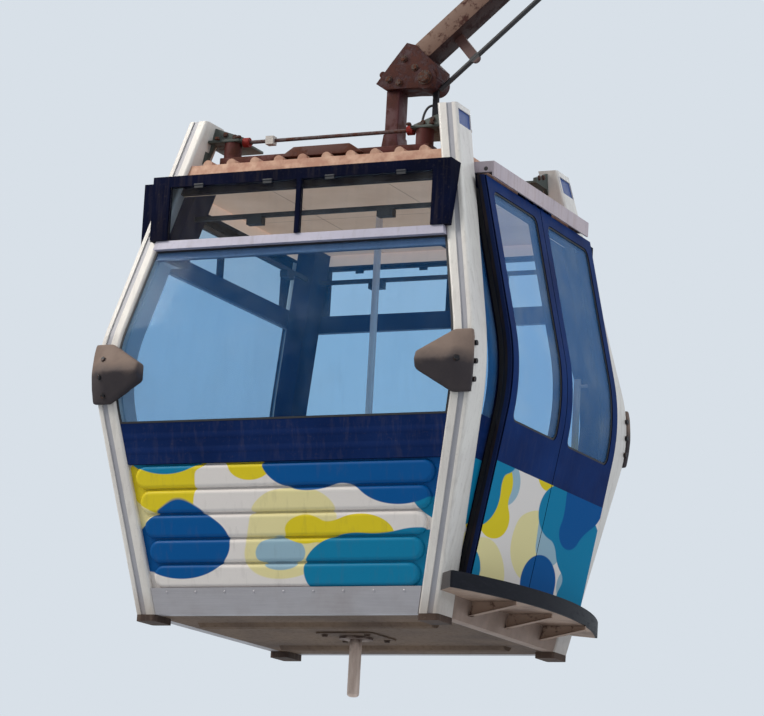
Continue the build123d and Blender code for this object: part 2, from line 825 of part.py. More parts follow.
def bumper(side_x, side_y):
    """One bumper: its outline from the front, its beak from the side, its back round the post."""
    shoulder = side_x * (bend_half - bumper_shoulder)
    tip = side_x * (bend_half - bumper_reach)
    with BuildPart() as rubber:
        with BuildSketch(front_view):
            with BuildLine():
                Polyline(
                    (side_x * bumper_face, bumper_low),
                    (shoulder, bumper_low),
                    (tip, bumper_mid - bumper_tip / 2),
                    (tip, bumper_mid + bumper_tip / 2),
                    (shoulder, bumper_high),
                    (side_x * bumper_face, bumper_high),
                    close=True,
                )
            make_face()
        extrude(amount=reach, both=True)
        with BuildSketch(side_view):
            with BuildLine():
                Polyline(
                    (side_y * (bumper_face - bumper_plate), bumper_low),
                    (side_y * (bumper_face - bumper_chamfer), bumper_low),
                    (side_y * (bumper_face + bumper_ridge), bumper_mid),
                    (side_y * (bumper_face - bumper_chamfer), bumper_high),
                    (side_y * (bumper_face - bumper_plate), bumper_high),
                    close=True,
                )
            make_face()
        extrude(amount=reach, both=True, mode=Mode.INTERSECT)
        add(bent_block(((-reach, side_x), (post_proud + bumper_proud, side_x)), whole_span),
            mode=Mode.INTERSECT)
        add(bent_block(whole_span, ((-reach, side_y), (skirt_out, side_y))), mode=Mode.SUBTRACT)
        add(posts_taken.part, mode=Mode.SUBTRACT)
        add(bumper_bolt_row(side_x, side_y, seat_gap / 2), mode=Mode.SUBTRACT)
    return rubber.part


with BuildPart() as bumpers:
    for _, side_x, side_y in corners:
        add(bumper(side_x, side_y))
finish(bumpers, "bumpers")

with BuildPart() as bumper_bolts:
    for _, side_x, side_y in corners:
        add(bumper_bolt_row(side_x, side_y, 0))
finish(bumper_bolts, "bumper_bolts")

# Guide stub under the middle of the floor
with BuildPart() as guide_stub:
    with BuildSketch(level(0)):
        Circle(stub_flange / 2)
    extrude(amount=-stub_flange_thick)
    with BuildSketch(level(0)):
        Circle(stub_d / 2)
    extrude(amount=-stub_length)
    fillet(guide_stub.edges().sort_by(Axis.Z)[0], radius=stub_round)
finish(guide_stub, "guide_stub")

# Suspension: gussets on the posts rest on rubber buffers that stand on a frame over the roof
frame_low = ridge_top + seat_gap
bar_top = frame_low + bar_thick
beam_top = frame_low + beam_thick
with BuildPart() as suspension_frame:
    with BuildSketch(level(frame_low)):
        with GridLocations(1, 2 * damper_y, 1, 2):
            Rectangle(2 * damper_x + frame_beam, frame_beam)
        Rectangle(beam_width, 2 * damper_y)
    extrude(amount=bar_thick)
    with BuildSketch(level(frame_low)):
        Rectangle(beam_width, 2 * beam_half_y)
        Rectangle(2 * beam_half_x, beam_width)
    extrude(amount=beam_thick)
finish(suspension_frame, "suspension_frame")

with BuildPart() as dampers:
    with BuildSketch(level(bar_top + seat_gap)):
        with GridLocations(2 * damper_x, 2 * damper_y, 2, 2):
            Circle(damper_d / 2)
    extrude(amount=damper_top - bar_top - 2 * seat_gap)
finish(dampers, "dampers")


def web(plane, side, tip, root):
    """An upright gusset web that runs from a post's side at root to its tip."""
    with BuildPart() as plate:
        with BuildSketch(plane):
            with BuildLine():
                Polyline(
                    (side * top_half, web_high),
                    (side * root, web_high),
                    (side * tip, gusset_tip_high),
                    (side * tip, damper_top),
                    (side * root, damper_top),
                    (side * top_half, web_low),
                    close=True,
                )
            make_face()
        extrude(amount=web_thick / 2, both=True)
    return plate.part


# Gussets: a level pad over each buffer, with one upright web to each side of the post
with BuildPart() as post_gussets:
    for _, side_x, side_y in corners:
        with BuildSketch(level(damper_top)):
            with Locations((side_x * gusset_tip_x, side_y * gusset_tip_y)):
                outward = [Align.MIN if side > 0 else Align.MAX for side in (side_x, side_y)]
                Rectangle(top_half - gusset_tip_x, top_half - gusset_tip_y, align=outward)
        extrude(amount=pad_thick)
    for _, side_x, side_y in corners:
        add(web(front_view.offset(-side_y * damper_y), side_x, gusset_tip_x, top_half + post_x_in))
        inner_web = side_view.offset(side_x * (top_half + wall_in))
        add(web(inner_web, side_y, gusset_tip_y, top_half + post_y_in))
    add(posts_taken.part, mode=Mode.SUBTRACT)
finish(post_gussets, "post_gussets")

# Tie rods between the gussets, with a knob at each end and a clamp near one
rod_half = gusset_tip_x - seat_gap
with BuildPart() as tie_rods:
    for side in (-1, 1):
        with BuildSketch(side_view.offset(-rod_half)):
            with Locations((side * damper_y, tie_rod_z)):
                Circle(tie_rod_d / 2)
        extrude(amount=2 * rod_half)
        with BuildSketch(side_view.offset(-rod_half)):
            with Locations((side * damper_y, tie_rod_z)):
                Circle(knob_d / 2)
        extrude(amount=knob_length)
        with BuildSketch(side_view.offset(rod_half)):
            with Locations((side * damper_y, tie_rod_z)):
                Circle(knob_d / 2)
        extrude(amount=-knob_length)
        with BuildSketch(side_view.offset(clamp_x)):
            with Locations((side * damper_y, tie_rod_z)):
                Rectangle(clamp_size, clamp_size)
        extrude(amount=clamp_size / 2, both=True)
finish(tie_rods, "tie_rods")

# Hanger: leg with its foot, box arm with the eye that hangs on the grip's pivot, elbow between them
with BuildPart() as hanger_leg:
    foot_low = beam_top + seat_gap
    with BuildSketch(level(foot_low)):
        with Locations((leg_x, 0)):
            Rectangle(leg_width, leg_depth)
    extrude(amount=leg_top - foot_low)
    with BuildSketch(level(foot_low)):
        with Locations((leg_x, 0)):
            Rectangle(foot_plate[0], foot_plate[1])
    extrude(amount=foot_plate[2])
    with BuildSketch(front_view):
        with BuildLine():
            Polyline(
                (leg_x - foot_plate[0] / 2, foot_low),
                (leg_x + foot_plate[0] / 2, foot_low),
                (leg_x + collar_half, collar_low),
                (leg_x + leg_width / 2, collar_top),
                (leg_x - leg_width / 2, collar_top),
                (leg_x - collar_half, collar_low),
                close=True,
            )
        make_face()
    extrude(amount=leg_depth / 2 + pad_thick, both=True)
finish(hanger_leg, "hanger_leg")

arm_along = Vector(cos(radians(arm_angle)), sin(radians(arm_angle)))
arm_down = Vector(sin(radians(arm_angle)), -cos(radians(arm_angle)))
arm_out_z = arm_z + (arm_out_x - arm_x) * tan(radians(arm_angle))
eye_x = (eye_in + eye_out) / 2
with BuildPart() as hanger_arm:
    with BuildLine(front_view):
        arm_path = FilletPolyline((arm_x, arm_z), (arm_out_x, arm_out_z), (arm_out_x, arm_upper_z),
                                  (eye_x, rope_height - pivot_d), radius=arm_bend)
    with BuildSketch(Plane(origin=arm_path @ 0, x_dir=(0, 1, 0), z_dir=arm_path % 0)):
        Rectangle(arm_width, arm_depth)
    sweep()
    with BuildSketch(Plane.YZ.offset(eye_in)):
        Circle(eye_d / 2)
    extrude(amount=eye_out - eye_in)
    with BuildSketch(Plane.YZ.offset(eye_in)):
        Circle(pivot_d / 2 + pivot_clear)
    extrude(amount=eye_out - eye_in, mode=Mode.SUBTRACT)
finish(hanger_arm, "hanger_arm")

elbow_outline = [
    # along X from the leg's middle, height over the leg's top
    (-83, 33),
    (-3, 137),
    (71, 229),
    (121, 213),
    (240, 100),
    (240, 40),
    (190, -5),
    (92, seat_gap),
    (-31, seat_gap),
]
with BuildPart() as hanger_elbow:
    with BuildSketch(front_view):
        with BuildLine():
            Polyline(*[(leg_x + x, leg_top + z) for x, z in elbow_outline], close=True)
        make_face()
    extrude(amount=elbow_width / 2, both=True)
    with BuildSketch(front_view):
        with Locations((barrel_x, barrel_z)):
            Circle(barrel_d / 2)
    extrude(amount=barrel_length / 2, both=True)
    with BuildSketch(front_view):
        SlotCenterPoint(lever_root, lever_end, lever_thick)
    extrude(amount=lever_thick / 2, both=True)
    with BuildSketch(front_view):
        with Locations(lever_end):
            Circle(lever_d / 2)
    extrude(amount=lever_d / 2, both=True)
    add(hanger_leg.part, mode=Mode.SUBTRACT)
    add(hanger_arm.part, mode=Mode.SUBTRACT)
finish(hanger_elbow, "hanger_elbow")

# Door rod under the arm, with its brackets
rod_low = Vector(arm_x, arm_z) + arm_down * rod_drop + arm_along * rod_start
rod_high = rod_low + arm_along * rod_length
bracket_reach = rod_drop - arm_depth / 2 - seat_gap
with BuildPart() as door_rod:
    with BuildLine(front_view):
        rod_line = Line((rod_low.X, rod_low.Y), (rod_high.X, rod_high.Y))
    with BuildSketch(Plane(origin=rod_line @ 0, z_dir=rod_line % 0)):
        Circle(rod_d / 2)
    sweep()
    for along in rod_brackets:
        spot = rod_low + arm_along * along
        bracket_plane = Plane(origin=(spot.X, -bracket_thick / 2, spot.Y - rope_height),
                              x_dir=(arm_along.X, 0, arm_along.Y), z_dir=(0, 1, 0))
        with BuildSketch(bracket_plane):
            with Locations((0, -bracket_reach / 2)):
                Rectangle(bracket_length, bracket_reach)
            Circle(bracket_length / 2)
        extrude(amount=bracket_thick)
    add(hanger_elbow.part, mode=Mode.SUBTRACT)
finish(door_rod, "door_rod")

# Hook that hangs from the elbow's barrel, and the cable from it down to the suspension frame
with BuildPart() as cable_hook:
    with BuildSketch(front_view):
        with BuildLine():
            Polyline(
                (hook_x, barrel_z),
                (hook_x + hook_width, barrel_z),
                (hook_x + hook_width, hook_low + hook_width),
                (hook_x + hook_width - hook_taper, hook_low),
                (hook_x, hook_low),
                close=True,
            )
        make_face()
    extrude(amount=hook_thick / 2, both=True)
    add(hanger_elbow.part, mode=Mode.SUBTRACT)
    add(door_rod.part, mode=Mode.SUBTRACT)
finish(cable_hook, "cable_hook")

cable_route = [
    # along X from the hook's left side, height over the leg's top
    (-seat_gap, -75),
    (-22, -75),
    (-46, -108),
    (-58, -168),
    (-56, -252),
    (-60, -334),
    (-60, beam_top + seat_gap - leg_top),
]
cable_points = [Vector(hook_x + x, leg_top + z) for x, z in cable_route]
cable_radii = []
for before, here, after in zip(cable_points, cable_points[1:], cable_points[2:]):
    run_in = here - before
    run_out = after - here
    half_turn = radians(run_in.get_angle(run_out)) / 2
    cable_radii.append(cable_bend * min(run_in.length, run_out.length) / tan(half_turn))
with BuildPart() as door_cable:
    with BuildLine(front_view):
        cable_line = FilletPolyline(*[(point.X, point.Y) for point in cable_points], radius=cable_radii)
    with BuildSketch(Plane(origin=cable_line @ 0, z_dir=cable_line % 0)):
        Circle(cable_d / 2)
    sweep()
print("cable radii", [round(radius) for radius in cable_radii], "length", round(cable_line.length))
finish(door_cable, "door_cable")

# Grip: fixed jaw with the pivot pin, the rollers' cheeks and axles, and the springs' seat
body_side = pivot_in - seat_gap
weld_level = jaw_top - body_weld
spring_seat_top = spring_z + spring_d / 2
with BuildPart() as grip_body:
    with BuildSketch(Plane.XZ):
        with BuildLine():
            Polyline((-jaw_split, jaw_top), (-jaw_split, jaw_split), (jaw_tip, -jaw_low),
                     (body_side, -jaw_low), (body_side, jaw_top), close=True)
        make_face()
        Circle(rope_d / 2, mode=Mode.SUBTRACT)
    extrude(amount=jaw_length / 2, both=True)
    with BuildSketch(Plane.YZ.offset(2 * jaw_tip)):
        Circle(pivot_d / 2)
    extrude(amount=pivot_out - 2 * jaw_tip)
    with BuildSketch(Plane.YZ.offset(eye_out + pivot_cap_gap)):
        Circle(pivot_cap / 2)
    extrude(amount=pivot_cap_thick)
    for cheek_x in (-roller_width / 2 - cheek_gap - cheek_thick, roller_width / 2 + cheek_gap):
        with BuildSketch(Plane.YZ.offset(roller_x + cheek_x)):
            with Locations((0, (weld_level + roller_z) / 2)):
                with GridLocations(2 * roller_y, 1, 2, 1):
                    Rectangle(cheek_length, roller_z - weld_level)
            with Locations((0, roller_z)):
                with GridLocations(2 * roller_y, 1, 2, 1):
                    Circle(cheek_length / 2)
        extrude(amount=cheek_thick)
    with BuildSketch(Plane.YZ.offset(roller_x)):
        with Locations((0, roller_z)):
            with GridLocations(2 * roller_y, 1, 2, 1):
                Circle(axle_d / 2)
    extrude(amount=roller_width / 2 + cheek_gap, both=True)
    with BuildSketch(Plane.YZ.offset(spring_out + seat_gap)):
        with Locations((0, (weld_level + spring_seat_top) / 2)):
            Rectangle(2 * spring_y + spring_d, spring_seat_top - weld_level)
    extrude(amount=cheek_thick)
finish(grip_body, "grip_body")

# Moving jaw with its upright lever, pressed outwards by the springs
jaw_edge = -jaw_split - jaw_step
lever_face = -spring_in - seat_gap
with BuildPart() as grip_jaw:
    with BuildSketch(Plane.XZ):
        with BuildLine():
            Polyline(
                (jaw_edge, jaw_top - body_weld),
                (jaw_edge, jaw_split),
                (-jaw_tip - 10 * jaw_step, -jaw_split),
                (-jaw_tip, -jaw_low),
                (-lever_out, -jaw_low),
                (-lever_out, spring_seat_top),
                (lever_face, spring_seat_top),
                (lever_face, jaw_top - body_weld),
                close=True,
            )
        make_face()
        Circle(rope_d / 2, mode=Mode.SUBTRACT)
    extrude(amount=spring_y + spring_d / 2, both=True)
finish(grip_jaw, "grip_jaw")

spring_span = spring_in + spring_out
coil_pitch = spring_span / spring_coils
with BuildPart() as grip_springs:
    with BuildSketch(Plane.YZ.offset(-spring_in)):
        with Locations((-spring_y, spring_z), (spring_y, spring_z)):
            Circle((spring_d - spring_wire) / 2)
    extrude(amount=spring_span)
    for coil in range(spring_coils):
        with BuildSketch(Plane.YZ.offset(-spring_in + (coil + 0.25) * coil_pitch)):
            with Locations((-spring_y, spring_z), (spring_y, spring_z)):
                Circle(spring_d / 2)
        extrude(amount=coil_pitch / 2)
finish(grip_springs, "grip_springs")

for name, side in leaves:
    with BuildPart() as grip_roller:
        with BuildSketch(Plane.YZ.offset(roller_x)):
            with Locations((side * roller_y, roller_z)):
                Circle(roller_d / 2)
                Circle(axle_d / 2 + pivot_clear, mode=Mode.SUBTRACT)
        extrude(amount=roller_width / 2, both=True)
    finish(grip_roller, name + "_grip_roller")
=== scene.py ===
from math import atan, cos, pi, radians, sin, sqrt

import bmesh
import bpy
from mathutils import Matrix, Vector


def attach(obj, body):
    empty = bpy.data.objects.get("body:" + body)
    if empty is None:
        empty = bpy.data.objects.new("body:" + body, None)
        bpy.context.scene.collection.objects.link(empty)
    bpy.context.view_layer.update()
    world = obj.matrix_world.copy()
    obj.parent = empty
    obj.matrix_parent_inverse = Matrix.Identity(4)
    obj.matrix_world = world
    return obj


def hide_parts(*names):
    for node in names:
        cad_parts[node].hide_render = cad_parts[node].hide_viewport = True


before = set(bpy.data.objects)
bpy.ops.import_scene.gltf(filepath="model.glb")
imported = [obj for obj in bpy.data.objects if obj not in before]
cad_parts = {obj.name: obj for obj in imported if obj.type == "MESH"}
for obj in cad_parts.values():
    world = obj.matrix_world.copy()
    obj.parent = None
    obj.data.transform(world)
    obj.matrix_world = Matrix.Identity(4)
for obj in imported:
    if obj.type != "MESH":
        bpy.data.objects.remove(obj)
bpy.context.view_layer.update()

# Camera. It stands low beside the front right corner and looks up at the cabin with a long lens.
# The cabin's floor line is 5 m below the rope, which is the frame's origin.
floor_line = -5.0
yaw, pitch, roll = radians(25.86), radians(11.11), radians(3.19)
aim = Vector((0, 0, 1.2 + floor_line))
distance = 15.3966
focal, centre_across, centre_down = 3218.65, 370.16, 386.18  # in pixels of the frame
frame_width, frame_height = 764, 716
backward = Vector((sin(yaw) * cos(pitch), -cos(yaw) * cos(pitch), -sin(pitch)))
rightward = (-backward).cross(Vector((0, 0, 1))).normalized()
upward = rightward.cross(-backward)
camera_right = rightward * cos(roll) + upward * sin(roll)
camera_up = -rightward * sin(roll) + upward * cos(roll)
lens = bpy.data.cameras.new("camera")
lens.sensor_width = 36
lens.lens = focal / frame_width * lens.sensor_width
lens.shift_x = (frame_width / 2 - centre_across) / frame_width
lens.shift_y = (centre_down - frame_height / 2) / frame_width
lens.clip_end = 200
camera = bpy.data.objects.new("camera", lens)
bpy.context.scene.collection.objects.link(camera)
camera.matrix_world = Matrix.Translation(aim + backward * distance) @ Matrix(
    (camera_right, camera_up, backward)).transposed().to_4x4()
bpy.context.scene.camera = camera

# Door cable. A limp black lead of 12 mm that works the doors: it leaves the hook under the elbow
# sideways and hangs in one soft curve down to the suspension frame.
hook_left, leg_top = 0.255, 2.65
cable_route = [
    # along X from the hook's left side, height over the leg's top
    (-0.0003, -0.075),
    (-0.022, -0.075),
    (-0.046, -0.108),
    (-0.058, -0.168),
    (-0.056, -0.252),
    (-0.060, -0.334),
    (-0.060, -0.4144),
]
curve = bpy.data.curves.new("door_lead", "CURVE")
curve.dimensions = "3D"
curve.bevel_depth = 0.006
curve.bevel_resolution = 6
curve.use_fill_caps = True
run = curve.splines.new("NURBS")
run.points.add(len(cable_route) - 1)
for point, (x, z) in zip(run.points, cable_route):
    point.co = (hook_left + x, 0, leg_top + z + floor_line, 1)
run.order_u = 3
run.use_endpoint_u = True
run.resolution_u = 12
door_lead = bpy.data.objects.new("door_lead", curve)
bpy.context.scene.collection.objects.link(door_lead)


class Socket:
    """A shader socket that sums, multiplies and compares as a number does."""

    def __init__(self, finish, socket):
        self.finish = finish
        self.socket = socket

    def maths(self, operation, first, second=None):
        return self.finish.node("ShaderNodeMath", {"operation": operation}, {0: first, 1: second})

    def __add__(self, other):
        return self.maths("ADD", self, other)

    def __sub__(self, other):
        return self.maths("SUBTRACT", self, other)

    def __mul__(self, other):
        return self.maths("MULTIPLY", self, other)

    def __rsub__(self, other):
        return self.maths("SUBTRACT", other, self)

    def __gt__(self, other):
        return self.maths("GREATER_THAN", self, other)

    def __lt__(self, other):
        return self.maths("LESS_THAN", self, other)

    def __abs__(self):
        return self.maths("ABSOLUTE", self)

    __radd__ = __add__
    __rmul__ = __mul__


class Finish:
    """A material being made: its nodes, its surface shader and the object's coordinates."""

    def __init__(self, name, **constants):
        self.material = bpy.data.materials.new(name)
        self.material.use_nodes = True
        self.tree = self.material.node_tree
        self.shader = self.tree.nodes["Principled BSDF"]
        self.place = self.node("ShaderNodeTexCoord", {}, {}, "Object")
        self.x, self.y, z = self.parts(self.place)
        self.height = z - floor_line
        for socket, value in constants.items():
            self.shader.inputs[socket.replace("_", " ")].default_value = value

    def node(self, kind, settings, inputs, output=0):
        made = self.tree.nodes.new(kind)
        for key, value in settings.items():
            setattr(made, key, value)
        for key, value in inputs.items():
            if isinstance(value, Socket):
                self.tree.links.new(value.socket, made.inputs[key])
            elif value is not None:
                made.inputs[key].default_value = value
        return Socket(self, made.outputs[output])

    def feed(self, socket, value):
        self.tree.links.new(value.socket, self.shader.inputs[socket])

    def parts(self, vector):
        split = self.node("ShaderNodeSeparateXYZ", {}, {"Vector": vector})
        return [Socket(self, output) for output in split.socket.node.outputs]

    def stretched(self, scale, shift=0.0):
        return self.node("ShaderNodeMapping", {}, {
            "Vector": self.place, "Location": (shift, shift * 1.7, shift * 0.6), "Scale": scale}, "Vector")

    def noise(self, scale, detail=3.0, rough=0.55, place=None):
        return self.node("ShaderNodeTexNoise", {}, {
            "Vector": place or self.place, "Scale": scale, "Detail": detail, "Roughness": rough}, "Fac")

    def mix(self, amount, first, second):
        return self.node("ShaderNodeMix", {"data_type": "RGBA"}, {"Factor": amount, 6: first, 7: second}, 2)

    def ramp(self, value, low, high):
        return self.node("ShaderNodeMapRange", {}, {
            "Value": value, "From Min": low, "From Max": high}, "Result")

    def band(self, value, low, high, soft=0.002):
        return self.ramp(value, low - soft, low + soft) * self.ramp(value, high + soft, high - soft)

    def facing(self):
        """How far the surface faces +X, +Y and +Z."""
        return self.parts(self.node("ShaderNodeNewGeometry", {}, {}, "Normal"))

    def bump(self, height, distance):
        self.feed("Normal", self.node("ShaderNodeBump", {}, {"Height": height, "Distance": distance}, "Normal"))

    def onto(self, *pieces):
        for piece in pieces:
            mesh = (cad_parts[piece] if isinstance(piece, str) else piece).data
            mesh.materials.clear()
            mesh.materials.append(self.material)


def srgb(r, g, b):
    """A colour as it is seen, in 0 to 255, in the shader's linear numbers."""
    return tuple(((c / 255 + 0.055) / 1.055) ** 2.4 if c > 10.3 else c / 255 / 12.92 for c in (r, g, b)) + (1.0,)


lead_rubber = Finish("lead_rubber")
scuffs = lead_rubber.noise(70, 4)
lead_rubber.feed("Base Color", lead_rubber.mix(scuffs, srgb(14, 14, 18), srgb(38, 37, 42)))
lead_rubber.feed("Roughness", scuffs * 0.3 + 0.4)
lead_rubber.bump(scuffs, 0.0005)
lead_rubber.onto(door_lead)
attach(door_lead, "cabin")
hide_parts("door_cable")

# Studio. A wide pale floor under the hanging cabin, a pale backdrop and three soft lamps:
# the large one stands to the front left, so the end wall is lit and the door side is in half shade.
world = bpy.data.worlds.new("backdrop")
world.use_nodes = True
bpy.context.scene.world = world
sky = world.node_tree
seen = sky.nodes["Background"]
seen.inputs["Color"].default_value = srgb(216, 224, 232)
lit = sky.nodes.new("ShaderNodeBackground")
lit.inputs["Color"].default_value = (0.92, 0.96, 1.0, 1)
lit.inputs["Strength"].default_value = 0.5
path = sky.nodes.new("ShaderNodeLightPath")
either = sky.nodes.new("ShaderNodeMath")
either.operation = "MAXIMUM"
sky.links.new(path.outputs["Is Camera Ray"], either.inputs[0])
sky.links.new(path.outputs["Is Glossy Ray"], either.inputs[1])
any_of = sky.nodes.new("ShaderNodeMath")
any_of.operation = "MAXIMUM"
sky.links.new(either.outputs[0], any_of.inputs[0])
sky.links.new(path.outputs["Is Transmission Ray"], any_of.inputs[1])
choice = sky.nodes.new("ShaderNodeMixShader")
sky.links.new(any_of.outputs[0], choice.inputs[0])
sky.links.new(lit.outputs[0], choice.inputs[1])
sky.links.new(seen.outputs[0], choice.inputs[2])
sky.links.new(choice.outputs[0], sky.nodes["World Output"].inputs[0])
bpy.context.scene.view_settings.view_transform = "Standard"
lamps = [
    # name, angle in plan from the front in degrees, lift in degrees, watts, size, warmth
    ("key", -50, 36, 480, 3.6, (1.0, 0.96, 0.89)),
    ("side", 75, 22, 190, 6, (0.86, 0.93, 1.0)),
    ("back", 190, 45, 200, 6, (1.0, 1.0, 1.0)),
]
lamp_distance, cabin_middle = 8, Vector((0, 0, -3.6))
for name, turn, lift, watts, size, tone in lamps:
    lamp = bpy.data.lights.new(name, "AREA")
    lamp.energy = watts
    lamp.size = size
    lamp.color = tone
    holder = bpy.data.objects.new(name, lamp)
    bpy.context.scene.collection.objects.link(holder)
    turn, lift = radians(turn), radians(lift)
    direction = Vector((sin(turn) * cos(lift), -cos(turn) * cos(lift), sin(lift)))
    holder.matrix_world = Matrix.Translation(cabin_middle + direction * lamp_distance) @ (
        direction.to_track_quat("Z", "Y").to_matrix().to_4x4())
bpy.ops.object.select_all(action="DESELECT")
bpy.ops.mesh.primitive_plane_add(size=160, location=(0, 0, -8.6))
ground = bpy.context.object
ground.name = "studio_floor"
floor_paint = Finish("studio_floor", Roughness=0.9, Emission_Strength=1.0)
rays = floor_paint.node("ShaderNodeLightPath", {}, {}, "Is Camera Ray")
glints = Socket(floor_paint, rays.socket.node.outputs["Is Glossy Ray"])
passing = Socket(floor_paint, rays.socket.node.outputs["Is Transmission Ray"])
floor_paint.feed("Emission Color", floor_paint.mix(
    (rays + glints + passing) > 0.5, (0, 0, 0, 1), srgb(112, 117, 122)))
floor_paint.feed("Base Color", floor_paint.mix(floor_paint.noise(0.8, 2), srgb(206, 210, 214), srgb(214, 218, 222)))
under = floor_paint.node("ShaderNodeNewGeometry", {}, {}, "Backfacing")
open_below = floor_paint.node("ShaderNodeMixShader", {}, {
    0: under, 1: Socket(floor_paint, floor_paint.shader.outputs["BSDF"]),
    2: floor_paint.node("ShaderNodeBsdfTransparent", {}, {}, "BSDF")}, "Shader")
floor_paint.tree.links.new(open_below.socket, floor_paint.tree.nodes["Material Output"].inputs["Surface"])
floor_paint.onto(ground)

# Corner posts. Bent aluminium extrusions in warm white paint, with grey streaks that rain has
# left, dirt at the feet and a blue recess in each side face near the top. Cast feet close them.
foot_half, bend_half, bend_height = 0.712, 0.925, 1.119  # half spacing of the post line at floor and bend
lower_slope, upper_slope = 0.213 / bend_height, 0.280 / 1.246
upper_reach = bend_half + bend_height * upper_slope


def post_slope(height):
    """Half spacing of the posts above the bend."""
    return bend_half - (height - bend_height) * upper_slope


def bent_edge(finish):
    """The post line as a shader sees it, rounded at the bend."""
    return finish.node("ShaderNodeMath", {"operation": "SMOOTH_MIN"}, {
        0: finish.height * lower_slope + foot_half, 1: upper_reach - finish.height * upper_slope, 2: 0.127})


def painted(name, colour, second, rough=0.4, grime=0.35, streak=2.5, dirt=srgb(122, 108, 96), **constants):
    """Paint on metal in two close tints, with streaks and specks of dirt and a fine peel."""
    paint = Finish(name, **{"Specular_IOR_Level": 0.2, **constants})
    tints = paint.ramp(paint.noise(3.5, 4), 0.35, 0.7)
    streaks = paint.ramp(paint.noise(1, 5, 0.6, paint.stretched((42, 42, streak))), 0.5, 0.82)
    specks = paint.ramp(paint.noise(75, 2), 0.6, 0.75)
    paint.soil = streaks * grime + specks * (grime * 0.5)
    paint.colour = paint.mix(paint.soil, paint.mix(tints, colour, second), dirt)
    paint.feed("Base Color", paint.colour)
    paint.feed("Roughness", paint.soil * 0.5 + rough)
    paint.bump(paint.noise(170, 2) + streaks * 0.4, 0.0003)
    return paint


post_paint = painted("post_paint", srgb(226, 221, 214), srgb(214, 208, 203), 0.34, 0.3, Coat_Weight=0.2)
beyond = abs(post_paint.x) - upper_reach + post_paint.height * upper_slope
across = abs(post_paint.y) - upper_reach + post_paint.height * upper_slope
recess = (post_paint.band(post_paint.height, 2.2572, 2.3368, 0.0004) * post_paint.band(beyond, 0.040, 0.0465, 0.0008)
          * (across < 0.037) * (abs(post_paint.facing()[0]) > 0.7))
edge = bent_edge(post_paint)
# The flute in each end face is painted darker and bluish: painted shade and a painted sky reflection.
flute_shade = post_paint.band(abs(post_paint.x) - edge, -0.0035, 0.0235, 0.0008) * ((abs(post_paint.y) - edge) > 0.03)
foot_dirt = post_paint.ramp(post_paint.height + post_paint.noise(14, 4) * 0.1, 0.17, 0.03) * 0.6
colour = post_paint.mix(flute_shade * 0.6, post_paint.colour, srgb(112, 118, 140))
colour = post_paint.mix(foot_dirt, colour, srgb(150, 132, 118))
post_paint.feed("Base Color", post_paint.mix(recess, colour, srgb(24, 62, 128)))
post_paint.onto("post_front_left", "post_front_right", "post_rear_left", "post_rear_right")
foot_iron = painted("foot_iron", srgb(58, 46, 42), srgb(84, 66, 56), 0.7, 0.6)
foot_iron.onto("post_feet")

# Floor pan and skirts. The pan is sheet steel in a brown undercoat with road-like dirt and drips;
# the skirts round it are bare aluminium, brushed lengthways and dull, browner and darker on the door side under the
# footboard.
pan_paint = painted("pan_paint", srgb(116, 96, 80), srgb(90, 74, 64), 0.7, 0.5, 30, srgb(62, 50, 42))
pan_paint.onto("floor_pan")
skirt_metal = Finish("skirt_metal", Metallic=0.55)
brushed = skirt_metal.noise(1, 4, 0.6, skirt_metal.stretched((6, 6, 240)))
blotches = skirt_metal.ramp(skirt_metal.noise(5, 4), 0.4, 0.75)
# The skirt turns browner and darker in patches past x = 0.70, on the door side.
door_side_brown = skirt_metal.ramp(skirt_metal.x, 0.70, 0.705) * 0.85
bare = skirt_metal.mix(brushed, srgb(160, 156, 160), srgb(184, 180, 182))
bare = skirt_metal.mix(blotches * 0.35, bare, srgb(126, 116, 112))
skirt_metal.feed("Base Color", skirt_metal.mix(
    door_side_brown, bare, skirt_metal.mix(skirt_metal.noise(11, 5), srgb(120, 98, 84), srgb(178, 152, 134))))
skirt_metal.feed("Roughness", blotches * 0.2 + door_side_brown * 0.3 + 0.38)
skirt_metal.bump(brushed, 0.0003)
skirt_metal.onto("skirts")


def deselected():
    """Nothing selected, so that an operator acts on the next primitive alone."""
    bpy.ops.object.select_all(action="DESELECT")


def settled(name):
    """The active piece named, with its place in its mesh and its normals outwards."""
    piece = bpy.context.object
    bpy.ops.object.transform_apply(location=True, rotation=True, scale=True)
    piece.name = piece.data.name = name
    bpy.ops.object.mode_set(mode="EDIT")
    bpy.ops.mesh.select_all(action="SELECT")
    bpy.ops.mesh.normals_make_consistent(inside=False)
    bpy.ops.object.mode_set(mode="OBJECT")
    return piece


def picked(test, kind="FACE"):
    """In edit mode, select only the faces, or the edges, that the test accepts."""
    mesh = bpy.context.object.data
    bpy.ops.mesh.select_mode(type=kind)
    bpy.ops.mesh.select_all(action="DESELECT")
    shape = bmesh.from_edit_mesh(mesh)
    for element in shape.edges if kind == "EDGE" else shape.faces:
        element.select_set(bool(test(element)))
    bmesh.update_edit_mesh(mesh)


def repeated(pattern, name, body, finish, places):
    """Copies of a small modelled piece, one at each place, as one object. The pattern goes."""
    gathered = bmesh.new()
    for place in places:
        copy = pattern.data.copy()
        copy.transform(place)
        gathered.from_mesh(copy)
        bpy.data.meshes.remove(copy)
    mesh = bpy.data.meshes.new(name)
    gathered.to_mesh(mesh)
    gathered.free()
    bpy.data.objects.remove(pattern)
    row = bpy.data.objects.new(name, mesh)
    bpy.context.scene.collection.objects.link(row)
    finish.onto(row)
    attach(row, body)
    return row


def pointing(place, out):
    """The matrix that stands a piece modelled along +Z on a place, along a direction."""
    return Matrix.Translation(place) @ Vector(out).to_track_quat("Z", "Y").to_matrix().to_4x4()


